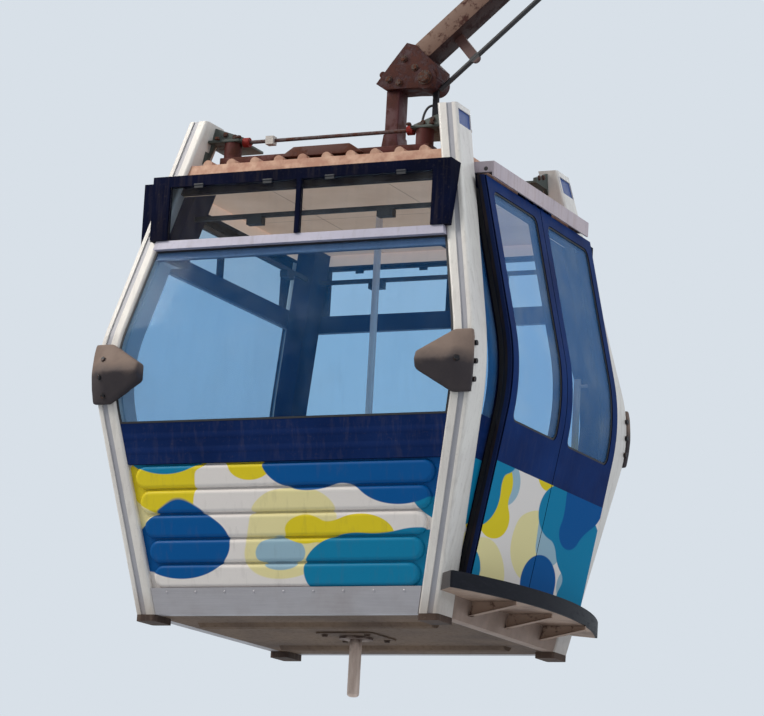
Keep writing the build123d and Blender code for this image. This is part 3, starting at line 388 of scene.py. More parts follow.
def rivet(radius):
    """A domed rivet head at the origin."""
    deselected()
    bpy.ops.mesh.primitive_cylinder_add(vertices=12, radius=radius, depth=radius * 0.5)
    bpy.ops.object.mode_set(mode="EDIT")
    picked(lambda face: face.normal.z > 0.9)
    bpy.ops.mesh.inset(thickness=radius * 0.25, depth=radius * 0.2)
    bpy.ops.mesh.inset(thickness=radius * 0.35, depth=radius * 0.12)
    bpy.ops.object.mode_set(mode="OBJECT")
    bpy.ops.object.shade_smooth_by_angle(angle=radians(50))
    return settled("rivet")


lower_lean = atan(lower_slope)
rivet_height, rivet_radius = 0.100, 0.006
rivet_line = foot_half + lower_slope * rivet_height + 0.045
rivets_a_side = 9
rivet_spots = []
for turn, reach in ((-90, 0.60), (90, 0.60), (180, 0.52), (0, 0.52)):
    across_x, across_y = cos(radians(turn)), sin(radians(turn))
    for step in range(rivets_a_side):
        along = (2 * step / (rivets_a_side - 1) - 1) * reach
        spot = Vector((across_x * rivet_line - across_y * along, across_y * rivet_line + across_x * along,
                       rivet_height + floor_line))
        rivet_spots.append(pointing(spot, (across_x * cos(lower_lean), across_y * cos(lower_lean), -sin(lower_lean))))
repeated(rivet(rivet_radius), "skirt_rivets", "cabin", skirt_metal, rivet_spots)

# Under the floor. Two hat sections of folded steel run across the pan, and a square doubler
# with rounded corners and four bolts carries the guide stub.


def slab(place, size):
    """A block of a size at a place, open in edit mode."""
    deselected()
    bpy.ops.mesh.primitive_cube_add(size=1, location=place, scale=size)
    bpy.ops.object.transform_apply(location=True, rotation=True, scale=True)
    bpy.ops.object.mode_set(mode="EDIT")


hat_depth, hat_y = 0.018, 0.42
slab((0, 0, floor_line - hat_depth / 2), (1.19, 0.10, hat_depth))
picked(lambda face: face.normal.z < -0.9)
bpy.ops.transform.resize(value=(1, 0.55, 1))
bpy.ops.mesh.inset(thickness=0.012, depth=-0.004)
bpy.ops.object.mode_set(mode="OBJECT")
repeated(settled("hat_section"), "cross_members", "cabin", pan_paint,
         [Matrix.Translation((0, y, 0)) for y in (-hat_y, hat_y)])


def hex_bolt(size):
    """A hexagon head on a washer, at the origin and along +Z, of a size across its corners."""
    deselected()
    bpy.ops.mesh.primitive_cylinder_add(vertices=6, radius=size / 2, depth=size * 0.34,
                                        location=(0, 0, size * 0.24))
    bpy.ops.object.mode_set(mode="EDIT")
    picked(lambda face: face.normal.z > 0.9)
    bpy.ops.mesh.bevel(offset=size * 0.05, segments=1)
    bpy.ops.object.mode_set(mode="OBJECT")
    head = bpy.context.object
    bpy.ops.mesh.primitive_cylinder_add(vertices=16, radius=size * 0.62, depth=size * 0.16)
    bpy.ops.object.mode_set(mode="EDIT")
    picked(lambda face: face.normal.z > 0.9)
    bpy.ops.mesh.bevel(offset=size * 0.03, segments=1)
    bpy.ops.object.mode_set(mode="OBJECT")
    head.select_set(True)
    bpy.ops.object.join()
    return settled("hex_bolt")


doubler_thick, doubler_bolt = 0.008, 0.11
slab((0, 0, floor_line - doubler_thick / 2), (0.30, 0.30, doubler_thick))
picked(lambda edge: abs(edge.verts[0].co.z - edge.verts[1].co.z) > doubler_thick / 2, "EDGE")
bpy.ops.mesh.bevel(offset=0.03, segments=4)
bpy.ops.object.mode_set(mode="OBJECT")
doubler = settled("stub_doubler")
pan_paint.onto(doubler)
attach(doubler, "cabin")
stub_steel = Finish("stub_steel", Metallic=0.25)
rubbed_and_sunlit = stub_steel.ramp(stub_steel.noise(1, 4, 0.6, stub_steel.stretched((60, 60, 8))), 0.35, 0.7)
rust = stub_steel.ramp(stub_steel.height + stub_steel.noise(30, 4) * 0.08, -0.03, 0.03)
stub_steel.feed("Base Color", stub_steel.mix(
    rust, stub_steel.mix(rubbed_and_sunlit, srgb(224, 202, 188), srgb(192, 168, 154)), srgb(74, 56, 48)))
stub_steel.feed("Roughness", rust * 0.4 + 0.4)
stub_steel.bump(rubbed_and_sunlit, 0.0004)
stub_steel.onto("guide_stub")
repeated(hex_bolt(0.026), "stub_bolts", "cabin", foot_iron,
         [pointing((x, y, floor_line - doubler_thick - 0.001), (0, 0, -1))
          for x in (-doubler_bolt, doubler_bolt) for y in (-doubler_bolt, doubler_bolt)])

# Lower panels with their rounded ribs. Pressed aluminium, plain grey inside, under a printed film:
# large rounded patches in blues, yellow and cream, each laid over the one before. The doors carry
# on with it.


def printed(finish, shift=0.0):
    """The colours of the printed film, patch over patch."""
    colour = srgb(226, 219, 214)
    patches = [
        # size as scale, reach of a patch from its middle, colour
        (2.1, 0.50, srgb(228, 216, 160)),
        (2.7, 0.37, srgb(150, 180, 195)),
        (2.6, 0.36, srgb(222, 200, 40)),
        (2.1, 0.45, srgb(14, 124, 164)),
        (2.0, 0.405, srgb(0, 82, 146)),
    ]
    for number, (scale, far, tone) in enumerate(patches):
        cell = finish.node("ShaderNodeTexVoronoi", {"feature": "SMOOTH_F1"}, {
            "Vector": finish.stretched((0.8, 0.8, 1.3), shift + number * 5.1 + 2.2), "Scale": scale,
            "Smoothness": 0.35}, "Distance")
        colour = finish.mix(finish.ramp(cell, far, far - 0.008), colour, tone)
    return colour


film = Finish("printed_film", Specular_IOR_Level=0.12)
dull = film.ramp(film.noise(6, 4), 0.4, 0.8)
grime = film.ramp(film.noise(1, 5, 0.6, film.stretched((30, 30, 3))), 0.55, 0.85) * 0.25
across_x, across_y, _ = film.facing()
outer_skin = (across_x * film.x + across_y * film.y) > 0
film.feed("Base Color", film.mix(grime, film.mix(outer_skin, srgb(120, 124, 132), printed(film)), srgb(96, 84, 76)))
film.feed("Roughness", dull * 0.2 + 0.36)
film.bump(film.noise(110, 2), 0.0003)
film.onto("ribbed_panels", "side_panels")

# Belts. Navy aluminium panels between the ribs and the windows, pressed with two shallow swages
# along their length. Rain has streaked their paint a little.
belt_paint = painted("belt_paint", srgb(13, 34, 78), srgb(19, 42, 90), 0.5, 0.14, Specular_IOR_Level=0.04)
swages_and_highlight = (belt_paint.band(belt_paint.height, 0.734, 0.744, 0.012)
          + belt_paint.band(belt_paint.height, 0.799, 0.809, 0.012))
# The swages are painted a lighter blue as well, a painted highlight along them.
belt_paint.feed("Base Color", belt_paint.mix(swages_and_highlight * 0.3, belt_paint.colour, srgb(34, 56, 112)))
belt_paint.bump(swages_and_highlight, 0.004)
belt_paint.onto("belts", "side_belts")

# Window glass. Sheets tinted a clear sky blue right through, with a film of dust and a few run
# marks on them; the panes of the vents are a little paler. Towards grazing angles more of each
# sheet's surface colour shows with its gloss, a painted reflection: sky blue on the windows.


def tinted(name, tint, surface, veil):
    """Tinted sheet: what each face lets through, and the colour and strength of the film on it."""
    sheet = Finish(name, Roughness=0.05)
    runs = sheet.ramp(sheet.noise(1, 5, 0.6, sheet.stretched((26, 26, 1.6))), 0.5, 0.9)
    dust = sheet.ramp(sheet.noise(5, 3), 0.45, 0.8)
    sheet.feed("Base Color", sheet.mix(dust * 0.5, surface, srgb(196, 206, 214)))
    # Painted reflection: the surface colour is mixed in, more strongly towards grazing angles.
    grazing_reflection = sheet.node("ShaderNodeLayerWeight", {}, {"Blend": 0.5}, "Facing")
    through = sheet.node("ShaderNodeBsdfTransparent", {}, {"Color": tint}, "BSDF")
    pane = sheet.node("ShaderNodeMixShader", {}, {
        0: runs * 0.05 + dust * 0.03 + grazing_reflection * grazing_reflection * 0.4 + veil,
        1: through, 2: Socket(sheet, sheet.shader.outputs["BSDF"])}, "Shader")
    sheet.tree.links.new(pane.socket, sheet.tree.nodes["Material Output"].inputs["Surface"])
    return sheet


window_glass = tinted("window_glass", (0.77, 0.88, 0.955, 1), srgb(74, 150, 222), 0.04)
window_glass.onto("wall_windows", "side_windows", "front_door_glass", "rear_door_glass")
vent_glass = tinted("vent_glass", (0.83, 0.905, 0.96, 1), srgb(150, 138, 130), 0.02)
vent_glass.onto("vent_panes")

# Window gaskets. Black rubber beads that hold each main window along its edges. Each is drawn
# flat as a frame, and then bent on to the line of the posts.
upper_lean = atan(upper_slope)
bow_half = (lower_lean + upper_lean) / 2
bow_tilt = (upper_lean - lower_lean) / 2
bow_x = bend_half - cos(bow_tilt) / cos(bow_half)
bow_height = bend_height - sin(bow_tilt) / cos(bow_half)


def post_line(height):
    """Half spacing of the post line, straight below and above a bend of 1 m radius."""
    if height < bow_height - sin(lower_lean):
        return foot_half + lower_slope * height
    if height > bow_height + sin(upper_lean):
        return post_slope(height)
    return bow_x + sqrt(1 - (height - bow_height) ** 2)


def upright_sheet(width, low, high):
    """A flat sheet in the XZ plane that faces -Y, open in edit mode."""
    deselected()
    bpy.ops.mesh.primitive_plane_add(size=1, location=(0, 0, (low + high) / 2), rotation=(pi / 2, 0, 0))
    bpy.context.object.scale = (width, high - low, 1)
    bpy.ops.object.transform_apply(location=True, rotation=True, scale=True)
    bpy.ops.object.mode_set(mode="EDIT")


def cut_across(low, high, steps):
    """Cut the open piece at even heights, so that it can be bent."""
    for step in range(1, steps):
        bpy.ops.mesh.select_all(action="SELECT")
        bpy.ops.mesh.bisect(plane_co=(0, 0, low + (high - low) * step / steps), plane_no=(0, 0, 1))


def flat_frame(name, half_width, low, high, width, thick, corner=0.0):
    """A frame in the XZ plane that faces -Y, cut across often enough to be bent."""
    upright_sheet(2 * half_width, low, high)
    if corner:
        bpy.ops.mesh.select_mode(type="VERT")
        bpy.ops.mesh.select_all(action="SELECT")
        bpy.ops.mesh.bevel(offset=corner, segments=5, affect="VERTICES")
    bpy.ops.mesh.select_mode(type="FACE")
    bpy.ops.mesh.select_all(action="SELECT")
    bpy.ops.mesh.inset(thickness=width, depth=0)
    bpy.ops.mesh.delete(type="FACE")
    cut_across(low, high, 24)
    bpy.ops.mesh.select_all(action="SELECT")
    bpy.ops.mesh.extrude_region_move(TRANSFORM_OT_translate={"value": (0, -thick, 0)})
    bpy.ops.object.mode_set(mode="OBJECT")
    return settled(name)


def bent_on(piece, out, edge=None, half_width=None):
    """Bend a flat frame to the post line, and let its sides follow the posts' inner edges."""
    for vertex in piece.data.vertices:
        height = vertex.co.z
        bow = post_line(height)
        if edge is not None and abs(vertex.co.x) > half_width / 2:
            side = 1 if vertex.co.x > 0 else -1
            vertex.co.x = side * (bow - edge - (half_width - abs(vertex.co.x)))
        vertex.co.y -= bow + out
        vertex.co.z = height + floor_line


gasket_rubber = Finish("gasket_rubber")
worn = gasket_rubber.noise(50, 4)
gasket_rubber.feed("Base Color", gasket_rubber.mix(worn, srgb(14, 15, 20), srgb(42, 42, 48)))
gasket_rubber.feed("Roughness", worn * 0.25 + 0.5)
gasket_rubber.bump(worn, 0.0004)
gasket_half, glass_out = 0.8, 0.0362
for name, turn, post_edge in (("front", 0, 0.0505), ("rear", 180, 0.0505), ("left", -90, 0.1155)):
    bead = flat_frame(name + "_window_gasket", gasket_half, 0.8655, 1.6995, 0.009, 0.005)
    bent_on(bead, glass_out, post_edge, gasket_half)
    bead.data.transform(Matrix.Rotation(radians(turn), 4, "Z"))
    gasket_rubber.onto(bead)
    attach(bead, "cabin")

# Mid rails. The bar behind the top of the glass is navy; the sill outside it, which carries the
# vent, is a pale grey extrusion.
sill_paint = painted("sill_paint", srgb(188, 184, 200), srgb(172, 168, 184), 0.4, 0.3)
farther = sill_paint.x.maths("MAXIMUM", abs(sill_paint.x), abs(sill_paint.y))
sill_paint.feed("Base Color", sill_paint.mix(farther > 0.812, sill_paint.mix(
    sill_paint.soil, srgb(22, 44, 92), srgb(40, 74, 128)), sill_paint.colour))
sill_paint.onto("mid_rails")

# Vents. Upright navy boxes with a thin middle bar stand in front of the leaning posts; the panes
# turn on two knuckles each, and black latches hold them to a bar behind.
frame_paint = painted("frame_paint", srgb(6, 10, 30), srgb(10, 17, 44), 0.55, 0.12, Specular_IOR_Level=0.02)
frame_paint.onto("vent_frames", "door_jambs")
# The inner faces of the roof rails take the beige ceiling lining, which glows faintly: painted light, not a lamp.
header_paint = painted("header_paint", srgb(6, 10, 30), srgb(10, 17, 44), 0.55, 0.12, Specular_IOR_Level=0.02,
                       Emission_Strength=0.5)
reach = header_paint.x.maths("MAXIMUM", abs(header_paint.x), abs(header_paint.y))
inner = (reach + header_paint.height * upper_slope) < upper_reach - 0.005
glowing_lining = header_paint.mix(header_paint.soil, srgb(230, 196, 172), srgb(150, 122, 106))
header_paint.feed("Base Color", header_paint.mix(inner, header_paint.colour, glowing_lining))
header_paint.feed("Emission Color", header_paint.mix(inner, (0, 0, 0, 1), glowing_lining))
header_paint.onto("roof_rails")
latch_plastic = Finish("latch_plastic")
grain = latch_plastic.noise(220, 2)
latch_plastic.feed("Base Color", latch_plastic.mix(grain, srgb(14, 15, 20), srgb(26, 28, 36)))
latch_plastic.feed("Roughness", grain * 0.3 + 0.35)
latch_plastic.bump(grain, 0.0003)
latch_plastic.onto("vent_latches")
deselected()
knuckle_radius, knuckle_length, vent_top = 0.006, 0.045, 2.001
bpy.ops.mesh.primitive_cylinder_add(vertices=16, radius=knuckle_radius, depth=knuckle_length, rotation=(0, pi / 2, 0))
bpy.ops.object.transform_apply(location=True, rotation=True, scale=True)
bpy.ops.object.mode_set(mode="EDIT")
picked(lambda face: abs(face.normal.x) > 0.9)
bpy.ops.mesh.inset(thickness=0.003, depth=0.002)
picked(lambda face: face.normal.z < -0.9)
bpy.ops.mesh.extrude_region_move(TRANSFORM_OT_translate={"value": (0, 0, -0.010)})
bpy.ops.object.mode_set(mode="OBJECT")
vent_face = post_slope(1.742) + 0.087
knuckle_spots = []
for turn in (0, 180, -90):
    for along in (-0.52, -0.16, 0.16, 0.52):
        knuckle_spots.append(Matrix.Rotation(radians(turn), 4, "Z") @ Matrix.Translation(
            (along, -vent_face - knuckle_radius / 2, vent_top + floor_line)))
repeated(settled("vent_knuckle"), "vent_knuckles", "cabin", latch_plastic, knuckle_spots)

# Corner linings. Angle profiles round the inner corner of each post, navy as the frames are. Beside
# the front windows they are planed down to a thin pale strip, so that the view stays open.
lining_paint = painted("lining_paint", srgb(6, 22, 58), srgb(10, 30, 72), 0.55, 0.12, Specular_IOR_Level=0.02)
window_low, window_high = 0.87, 1.66
slim = lining_paint.band(lining_paint.height, window_low, window_high, 0.001) * (lining_paint.y < 0)
lining_paint.feed("Base Color", lining_paint.mix(slim, lining_paint.colour, srgb(206, 214, 222)))
# The profile as distances inwards from the post line along X and Y; the post fills its open quarter.
post_side, post_back, lining_foot = 0.0503, 0.1153, 0.0603
deselected()
bpy.ops.mesh.primitive_plane_add(size=1, location=(0.0603, 0.0928, lining_foot))
bpy.context.object.scale = (0.1, 0.165, 1)
bpy.ops.object.transform_apply(location=True, rotation=True, scale=True)
bpy.ops.object.mode_set(mode="EDIT")
bpy.ops.mesh.select_all(action="SELECT")
bpy.ops.mesh.bisect(plane_co=(post_side, 0, 0), plane_no=(1, 0, 0))
bpy.ops.mesh.select_all(action="SELECT")
bpy.ops.mesh.bisect(plane_co=(0, post_back, 0), plane_no=(0, 1, 0))
picked(lambda face: face.calc_center_median().x < post_side and face.calc_center_median().y < post_back)
bpy.ops.mesh.delete(type="FACE")
bpy.ops.mesh.select_all(action="SELECT")
ramp_half, slim_part = 0.004, 0.13
slim_length = window_high - window_low - 2 * ramp_half
rings = [window_low - ramp_half, *(window_low + ramp_half + slim_length * step / 26 for step in range(27)),
         window_high + ramp_half, 2.05]
reached = lining_foot
for ring in rings:
    bpy.ops.mesh.extrude_region_move(TRANSFORM_OT_translate={"value": (0, 0, ring - reached)})
    reached = ring
bpy.ops.object.mode_set(mode="OBJECT")
corner_lining = repeated(settled("corner_lining"), "corner_linings", "cabin", lining_paint,
                         [Matrix.Diagonal((x, y, 1, 1)) for x in (-1, 1) for y in (-1, 1)])
for vertex in corner_lining.data.vertices:
    x, y, height = vertex.co
    thin = slim_part if y < 0 and window_low < height < window_high else 1
    along_x, along_y = abs(x), abs(y)
    if along_x > post_side:
        along_x = post_side + (along_x - post_side) * thin
    if along_y > post_back:
        along_y = post_back + (along_y - post_back) * thin
    spacing = post_line(height)
    vertex.co = ((spacing - along_x) * (1 if x > 0 else -1), (spacing - along_y) * (1 if y > 0 else -1),
                 height + floor_line)
deselected()
corner_lining.select_set(True)
bpy.context.view_layer.objects.active = corner_lining
bpy.ops.object.shade_smooth_by_angle(angle=radians(30))
settled("corner_linings")
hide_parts("corner_jambs")

# Roof. Ribbed panels in a faded peach coat that chalks and stains; its rim is mottled. Under it
# hangs a ceiling of pale boards with dark joints, which glow faintly as painted light.
roof_coat = Finish("roof_coat")
mottle = roof_coat.ramp(roof_coat.noise(16, 5, 0.65), 0.38, 0.66)
stain = roof_coat.ramp(roof_coat.noise(5, 5, 0.6), 0.52, 0.72)
chalk = roof_coat.mix(mottle, srgb(176, 128, 106), srgb(210, 172, 148))
roof_coat.feed("Base Color", roof_coat.mix(stain * 0.6, chalk, srgb(128, 84, 68)))
roof_coat.feed("Roughness", mottle * 0.15 + 0.7)
roof_coat.bump(mottle, 0.001)
roof_coat.onto("roof")
ceiling_board = Finish("ceiling_board", Emission_Strength=0.5)
joints = (ceiling_board.band(abs(ceiling_board.x), 0.3, 0.304, 0.001)
          + ceiling_board.band(ceiling_board.y, -0.002, 0.002, 0.001))
cloud = ceiling_board.noise(4, 4)
glowing_boards = ceiling_board.mix(joints * 0.7, ceiling_board.mix(
    cloud, srgb(230, 190, 162), srgb(192, 152, 124)), srgb(70, 54, 46))
ceiling_board.feed("Base Color", glowing_boards)
# Painted light: the boards glow faintly in their own colour.
ceiling_board.feed("Emission Color", glowing_boards)
ceiling_board.feed("Roughness", cloud * 0.2 + 0.5)
ceiling_board.bump(1 - joints, 0.002)
ceiling_board.onto("ceiling")

# Roof cowl. A low steel cover at the front edge of the roof with folded sloping ends, in brown
# primer that has worn pale on top.


def merged_copy(node, name):
    """A copy of a CAD piece's mesh, its loose triangles joined, open in edit mode."""
    piece = bpy.data.objects.new(name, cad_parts[node].data.copy())
    bpy.context.scene.collection.objects.link(piece)
    deselected()
    piece.select_set(True)
    bpy.context.view_layer.objects.active = piece
    bpy.ops.object.mode_set(mode="EDIT")
    bpy.ops.mesh.select_all(action="SELECT")
    bpy.ops.mesh.remove_doubles(threshold=0.00002)
    return piece


def formed(node, name, width, segments, finish):
    """A CAD piece's own form with its edges rounded, in place of the CAD piece."""
    piece = merged_copy(node, name)
    bpy.ops.mesh.dissolve_limited(angle_limit=radians(0.5))
    bpy.ops.object.mode_set(mode="OBJECT")
    rounding = piece.modifiers.new("edges", "BEVEL")
    rounding.width = width
    rounding.segments = segments
    rounding.angle_limit = radians(30)
    bpy.ops.object.modifier_apply(modifier=rounding.name)
    bpy.ops.object.shade_smooth_by_angle(angle=radians(30))
    finish.onto(piece)
    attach(piece, "cabin")
    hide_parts(node)
    return piece


def rusted(name, paint, second, rust, amount=0.5, scale=9):
    """Old paint that rust breaks through in patches, with a grain that catches the light."""
    steel = Finish(name, Specular_IOR_Level=0.2)
    patches = steel.ramp(steel.noise(scale, 7, 0.7), 1 - amount - 0.04, 1 - amount + 0.06)
    grain = steel.noise(90, 4, 0.6)
    steel.colour = steel.mix(patches, steel.mix(steel.noise(4, 4), paint, second),
                             steel.mix(grain, rust, srgb(52, 30, 26)))
    steel.feed("Base Color", steel.colour)
    steel.feed("Roughness", patches * 0.25 + 0.55)
    steel.bump(grain * 0.6 + patches, 0.0012)
    return steel


cowl_primer = rusted("cowl_primer", srgb(92, 52, 42), srgb(70, 40, 34), srgb(104, 60, 44), 0.45)
skyward = cowl_primer.ramp(cowl_primer.facing()[2], 0.6, 0.9) * 0.7
cowl_primer.feed("Base Color", cowl_primer.mix(skyward, cowl_primer.colour, srgb(150, 108, 86)))
formed("roof_cowl", "cowl_cover", 0.004, 2, cowl_primer)

# Inside. A brushed steel pole in the middle, two grab bars by the doors whose yellow coat is
# painted pale at the top as painted sunlight, and moulded seat shells.
pole_steel = Finish("pole_steel", Metallic=0.1)
polish = pole_steel.noise(1, 3, 0.5, pole_steel.stretched((90, 90, 3)))
pole_steel.feed("Base Color", pole_steel.mix(polish, srgb(226, 220, 222), srgb(246, 240, 240)))
pole_steel.feed("Roughness", polish * 0.15 + 0.25)
pole_steel.onto("grab_pole")
bar_coat = Finish("bar_coat")
# Painted sunlight: the yellow coat turns pale towards the top of each bar.
rubbed_and_sunlit = bar_coat.ramp(bar_coat.height + bar_coat.noise(25, 4) * 0.12, 1.06, 1.26)
bar_coat.feed("Base Color", bar_coat.mix(rubbed_and_sunlit, srgb(220, 168, 34), srgb(214, 178, 156)))
bar_coat.feed("Roughness", rubbed_and_sunlit * 0.3 + 0.3)
bar_coat.onto("grab_handles")
seat_plastic = Finish("seat_plastic")
leather_grain = seat_plastic.noise(120, 3)
slats = seat_plastic.band(abs(seat_plastic.x), 0.2, 0.206, 0.002)
seat_plastic.feed("Base Color", seat_plastic.mix(leather_grain, srgb(44, 50, 66), srgb(64, 70, 88)))
seat_plastic.feed("Roughness", leather_grain * 0.3 + 0.35)
seat_plastic.bump(leather_grain * 0.3 - slats, 0.003)
formed("benches", "seat_shells", 0.012, 3, seat_plastic)

# Door channel. A folded aluminium cover over the door rail, in a chalky pink-white coat with
# rust marks from the rail.
channel_coat = painted("channel_coat", srgb(198, 184, 188), srgb(182, 170, 178), 0.5, 0.4, 3, srgb(142, 112, 96))
channel_coat.onto("door_channel")
rail_steel = painted("rail_steel", srgb(88, 84, 86), srgb(62, 60, 62), 0.5, 0.6)
rail_steel.onto("door_rail")

# Door leaves. Bent sandwich panels: navy round the window and on the belt, the printed film
# below it, plain grey inside. A rubber bead holds each pane, and a dark seal runs down the edge.
leaf_paint = painted("leaf_paint", srgb(4, 32, 82), srgb(8, 46, 104), 0.45, 0.08, Specular_IOR_Level=0.02)
outward = leaf_paint.facing()[0]
skin = leaf_paint.mix(leaf_paint.height < 0.70, leaf_paint.colour, printed(leaf_paint))
leaf_paint.feed("Base Color", leaf_paint.mix(outward > 0.5, leaf_paint.mix(
    outward < -0.5, srgb(12, 18, 40), srgb(92, 96, 108)), skin))
leaf_paint.onto("front_door", "rear_door")
seal_rubber = Finish("seal_rubber", Specular_IOR_Level=0.15)
aged = seal_rubber.ramp(seal_rubber.noise(1, 4, 0.6, seal_rubber.stretched((60, 60, 5))), 0.45, 0.7)
outer_part = (seal_rubber.x - bent_edge(seal_rubber)) > 0.092
seal_rubber.feed("Base Color", seal_rubber.mix(
    outer_part, seal_rubber.mix(aged * 0.5, srgb(9, 11, 20), srgb(58, 44, 38)), srgb(8, 26, 66)))
seal_rubber.feed("Roughness", aged * 0.2 + 0.6)
seal_rubber.bump(aged, 0.0005)
seal_rubber.onto("front_door_seal", "rear_door_seal", "cable_hook")
leaf_middle, leaf_out = 0.325, 0.1082
for name, side in (("front", -1), ("rear", 1)):
    bead = flat_frame(name + "_door_gasket", 0.260, 0.8905, 1.9645, 0.010, 0.004, 0.04)
    bent_on(bead, leaf_out)
    bead.data.transform(Matrix.Translation((0, side * leaf_middle, 0)) @ Matrix.Rotation(pi / 2, 4, "Z"))
    gasket_rubber.onto(bead)
    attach(bead, "door_" + name)

# Jamb brushes. A black brush strip on each door jamb closes the slit between the wall and the
# leaf that slides past it; its bristles end 5 mm short of the leaf.
brush_black = Finish("brush_black")
bristles = brush_black.noise(1, 3, 0.6, brush_black.stretched((20, 20, 400)))
brush_black.feed("Base Color", brush_black.mix(bristles, srgb(10, 11, 14), srgb(46, 44, 48)))
brush_black.feed("Roughness", bristles * 0.2 + 0.75)
brush_black.bump(bristles, 0.002)
brush_low, brush_high, jamb_out, jamb_middle = 0.195, 1.965, 0.0402, 0.625
for name, side in (("front", -1), ("rear", 1)):
    upright_sheet(0.014, brush_low, brush_high)
    cut_across(brush_low, brush_high, 30)
    bpy.ops.mesh.select_all(action="SELECT")
    bpy.ops.mesh.extrude_region_move(TRANSFORM_OT_translate={"value": (0, -0.022, 0)})
    bpy.ops.object.mode_set(mode="OBJECT")
    strip = settled(name + "_jamb_brush")
    bent_on(strip, jamb_out)
    strip.data.transform(Matrix.Translation((0, side * jamb_middle, 0)) @ Matrix.Rotation(pi / 2, 4, "Z"))
    brush_black.onto(strip)
    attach(strip, "cabin")

# Footboard. A crescent step of chequered steel plate, dark and scraped on top and dirty tan
# beneath. Three rusty webs carry it from the floor pan, and a black rubber nosing edges it.
tread = Finish("tread_steel", Metallic=0.3)
studs = tread.node("ShaderNodeTexVoronoi", {}, {"Vector": tread.place, "Scale": 42, "Randomness": 0.2}, "Distance")
scraped = tread.noise(9, 5)
underside = tread.ramp(tread.facing()[2], -0.5, -0.8)
top_tone = tread.mix(scraped, srgb(52, 48, 50), srgb(92, 84, 80))
low_tone = tread.mix(tread.ramp(tread.noise(3.5, 4), 0.42, 0.62), srgb(168, 142, 124), srgb(120, 96, 82))
tread.feed("Base Color", tread.mix(underside, top_tone, low_tone))
tread.feed("Roughness", scraped * 0.3 + 0.45)
tread.bump(tread.ramp(studs, 0.35, 0.2), 0.0015)
tread.onto("footboard")
web_depth, web_y = 0.066, 0.42
slab((0.87, 0, floor_line + web_depth), (0.24, 0.008, web_depth))
picked(lambda edge: all(end.co.x > 0.98 and end.co.z < floor_line + 0.05 for end in edge.verts), "EDGE")
bpy.ops.transform.translate(value=(0, 0, 0.05))
picked(lambda face: face.normal.z < -0.5)
bpy.ops.mesh.extrude_region_move(TRANSFORM_OT_translate={"value": (0, 0, -0.004)})
bpy.ops.transform.resize(value=(1, 5, 1))
bpy.ops.object.mode_set(mode="OBJECT")
web_paint = rusted("web_paint", srgb(170, 144, 126), srgb(136, 112, 98), srgb(88, 64, 52), 0.42, 14)
repeated(settled("step_web"), "step_webs", "cabin", web_paint,
         [Matrix.Translation((0, y, 0)) for y in (-web_y, 0, web_y)])
nosing = Finish("nosing_rubber", Specular_IOR_Level=0.15)
scuff = nosing.ramp(nosing.noise(1, 5, 0.6, nosing.stretched((14, 14, 60))), 0.5, 0.8)
nosing.feed("Base Color", nosing.mix(scuff * 0.5, srgb(8, 10, 20), srgb(46, 44, 52)))
nosing.feed("Roughness", scuff * 0.2 + 0.55)
nosing.bump(scuff, 0.001)
nosing.onto("footboard_edge")

# Bumpers. Thick rubber mouldings with soft edges round the bend of each post, their upper half
# painted tan as painted light from above, with three black bolts on each side.
bumper_rubber = Finish("bumper_rubber", Specular_IOR_Level=0.25)
blotch = bumper_rubber.noise(10, 5, 0.6)
# Painted light: the upper half is tan, and the lower half stays dark as if in shade.
lit_upper_half = bumper_rubber.ramp(bumper_rubber.height + blotch * 0.10, 1.13, 1.20)
bumper_rubber.feed("Base Color", bumper_rubber.mix(
    lit_upper_half, bumper_rubber.mix(blotch, srgb(46, 41, 46), srgb(72, 64, 64)), bumper_rubber.mix(
        blotch, srgb(142, 122, 110), srgb(108, 92, 84))))
bumper_rubber.feed("Roughness", blotch * 0.2 + 0.6)
bumper_rubber.bump(bumper_rubber.noise(60, 4), 0.0012)
moulding = merged_copy("bumpers", "bumper_mouldings")
bpy.ops.object.mode_set(mode="OBJECT")
cells = moulding.modifiers.new("cells", "REMESH")
cells.mode = "VOXEL"
cells.voxel_size = 0.007
softening = moulding.modifiers.new("softening", "SMOOTH")
softening.factor = 0.5
softening.iterations = 14
bpy.ops.object.modifier_apply(modifier=cells.name)
bpy.ops.object.modifier_apply(modifier=softening.name)
for vertex in moulding.data.vertices:
    # The ridge fades out towards the post's outer corner.
    outward = min(1, max(0, (abs(vertex.co.x) - 0.87) / 0.115))
    ridge = max(0, abs(vertex.co.y) - 0.965)
    vertex.co.y -= (1 if vertex.co.y > 0 else -1) * ridge * 0.85 * outward * outward * (3 - 2 * outward)
bpy.ops.object.shade_smooth()
bumper_rubber.onto(moulding)
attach(moulding, "cabin")
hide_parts("bumpers")
bolt_black = Finish("bolt_black", Metallic=0.5)
oxide = bolt_black.noise(60, 4)
bolt_black.feed("Base Color", bolt_black.mix(
    bolt_black.ramp(oxide, 0.5, 0.7), srgb(26, 26, 30), srgb(74, 52, 42)))
bolt_black.feed("Roughness", oxide * 0.3 + 0.35)
bolt_black.bump(oxide, 0.0004)
bolt_black.onto("bumper_bolts")
bpy.context.view_layer.update()
sunk_spots = []
for side_y in (-1, 1):
    for x, height in ((0.905, 1.0925), (-0.89, 0.985), (-0.90, 1.070), (-0.89, 1.155)):
        _, spot, facing, _ = moulding.ray_cast((x, side_y * 1.3, height + floor_line), (0, -side_y, 0))
        sunk_spots.append(pointing(spot - facing * 0.003, facing))
repeated(hex_bolt(0.026), "sunk_bolts", "cabin", bolt_black, sunk_spots)

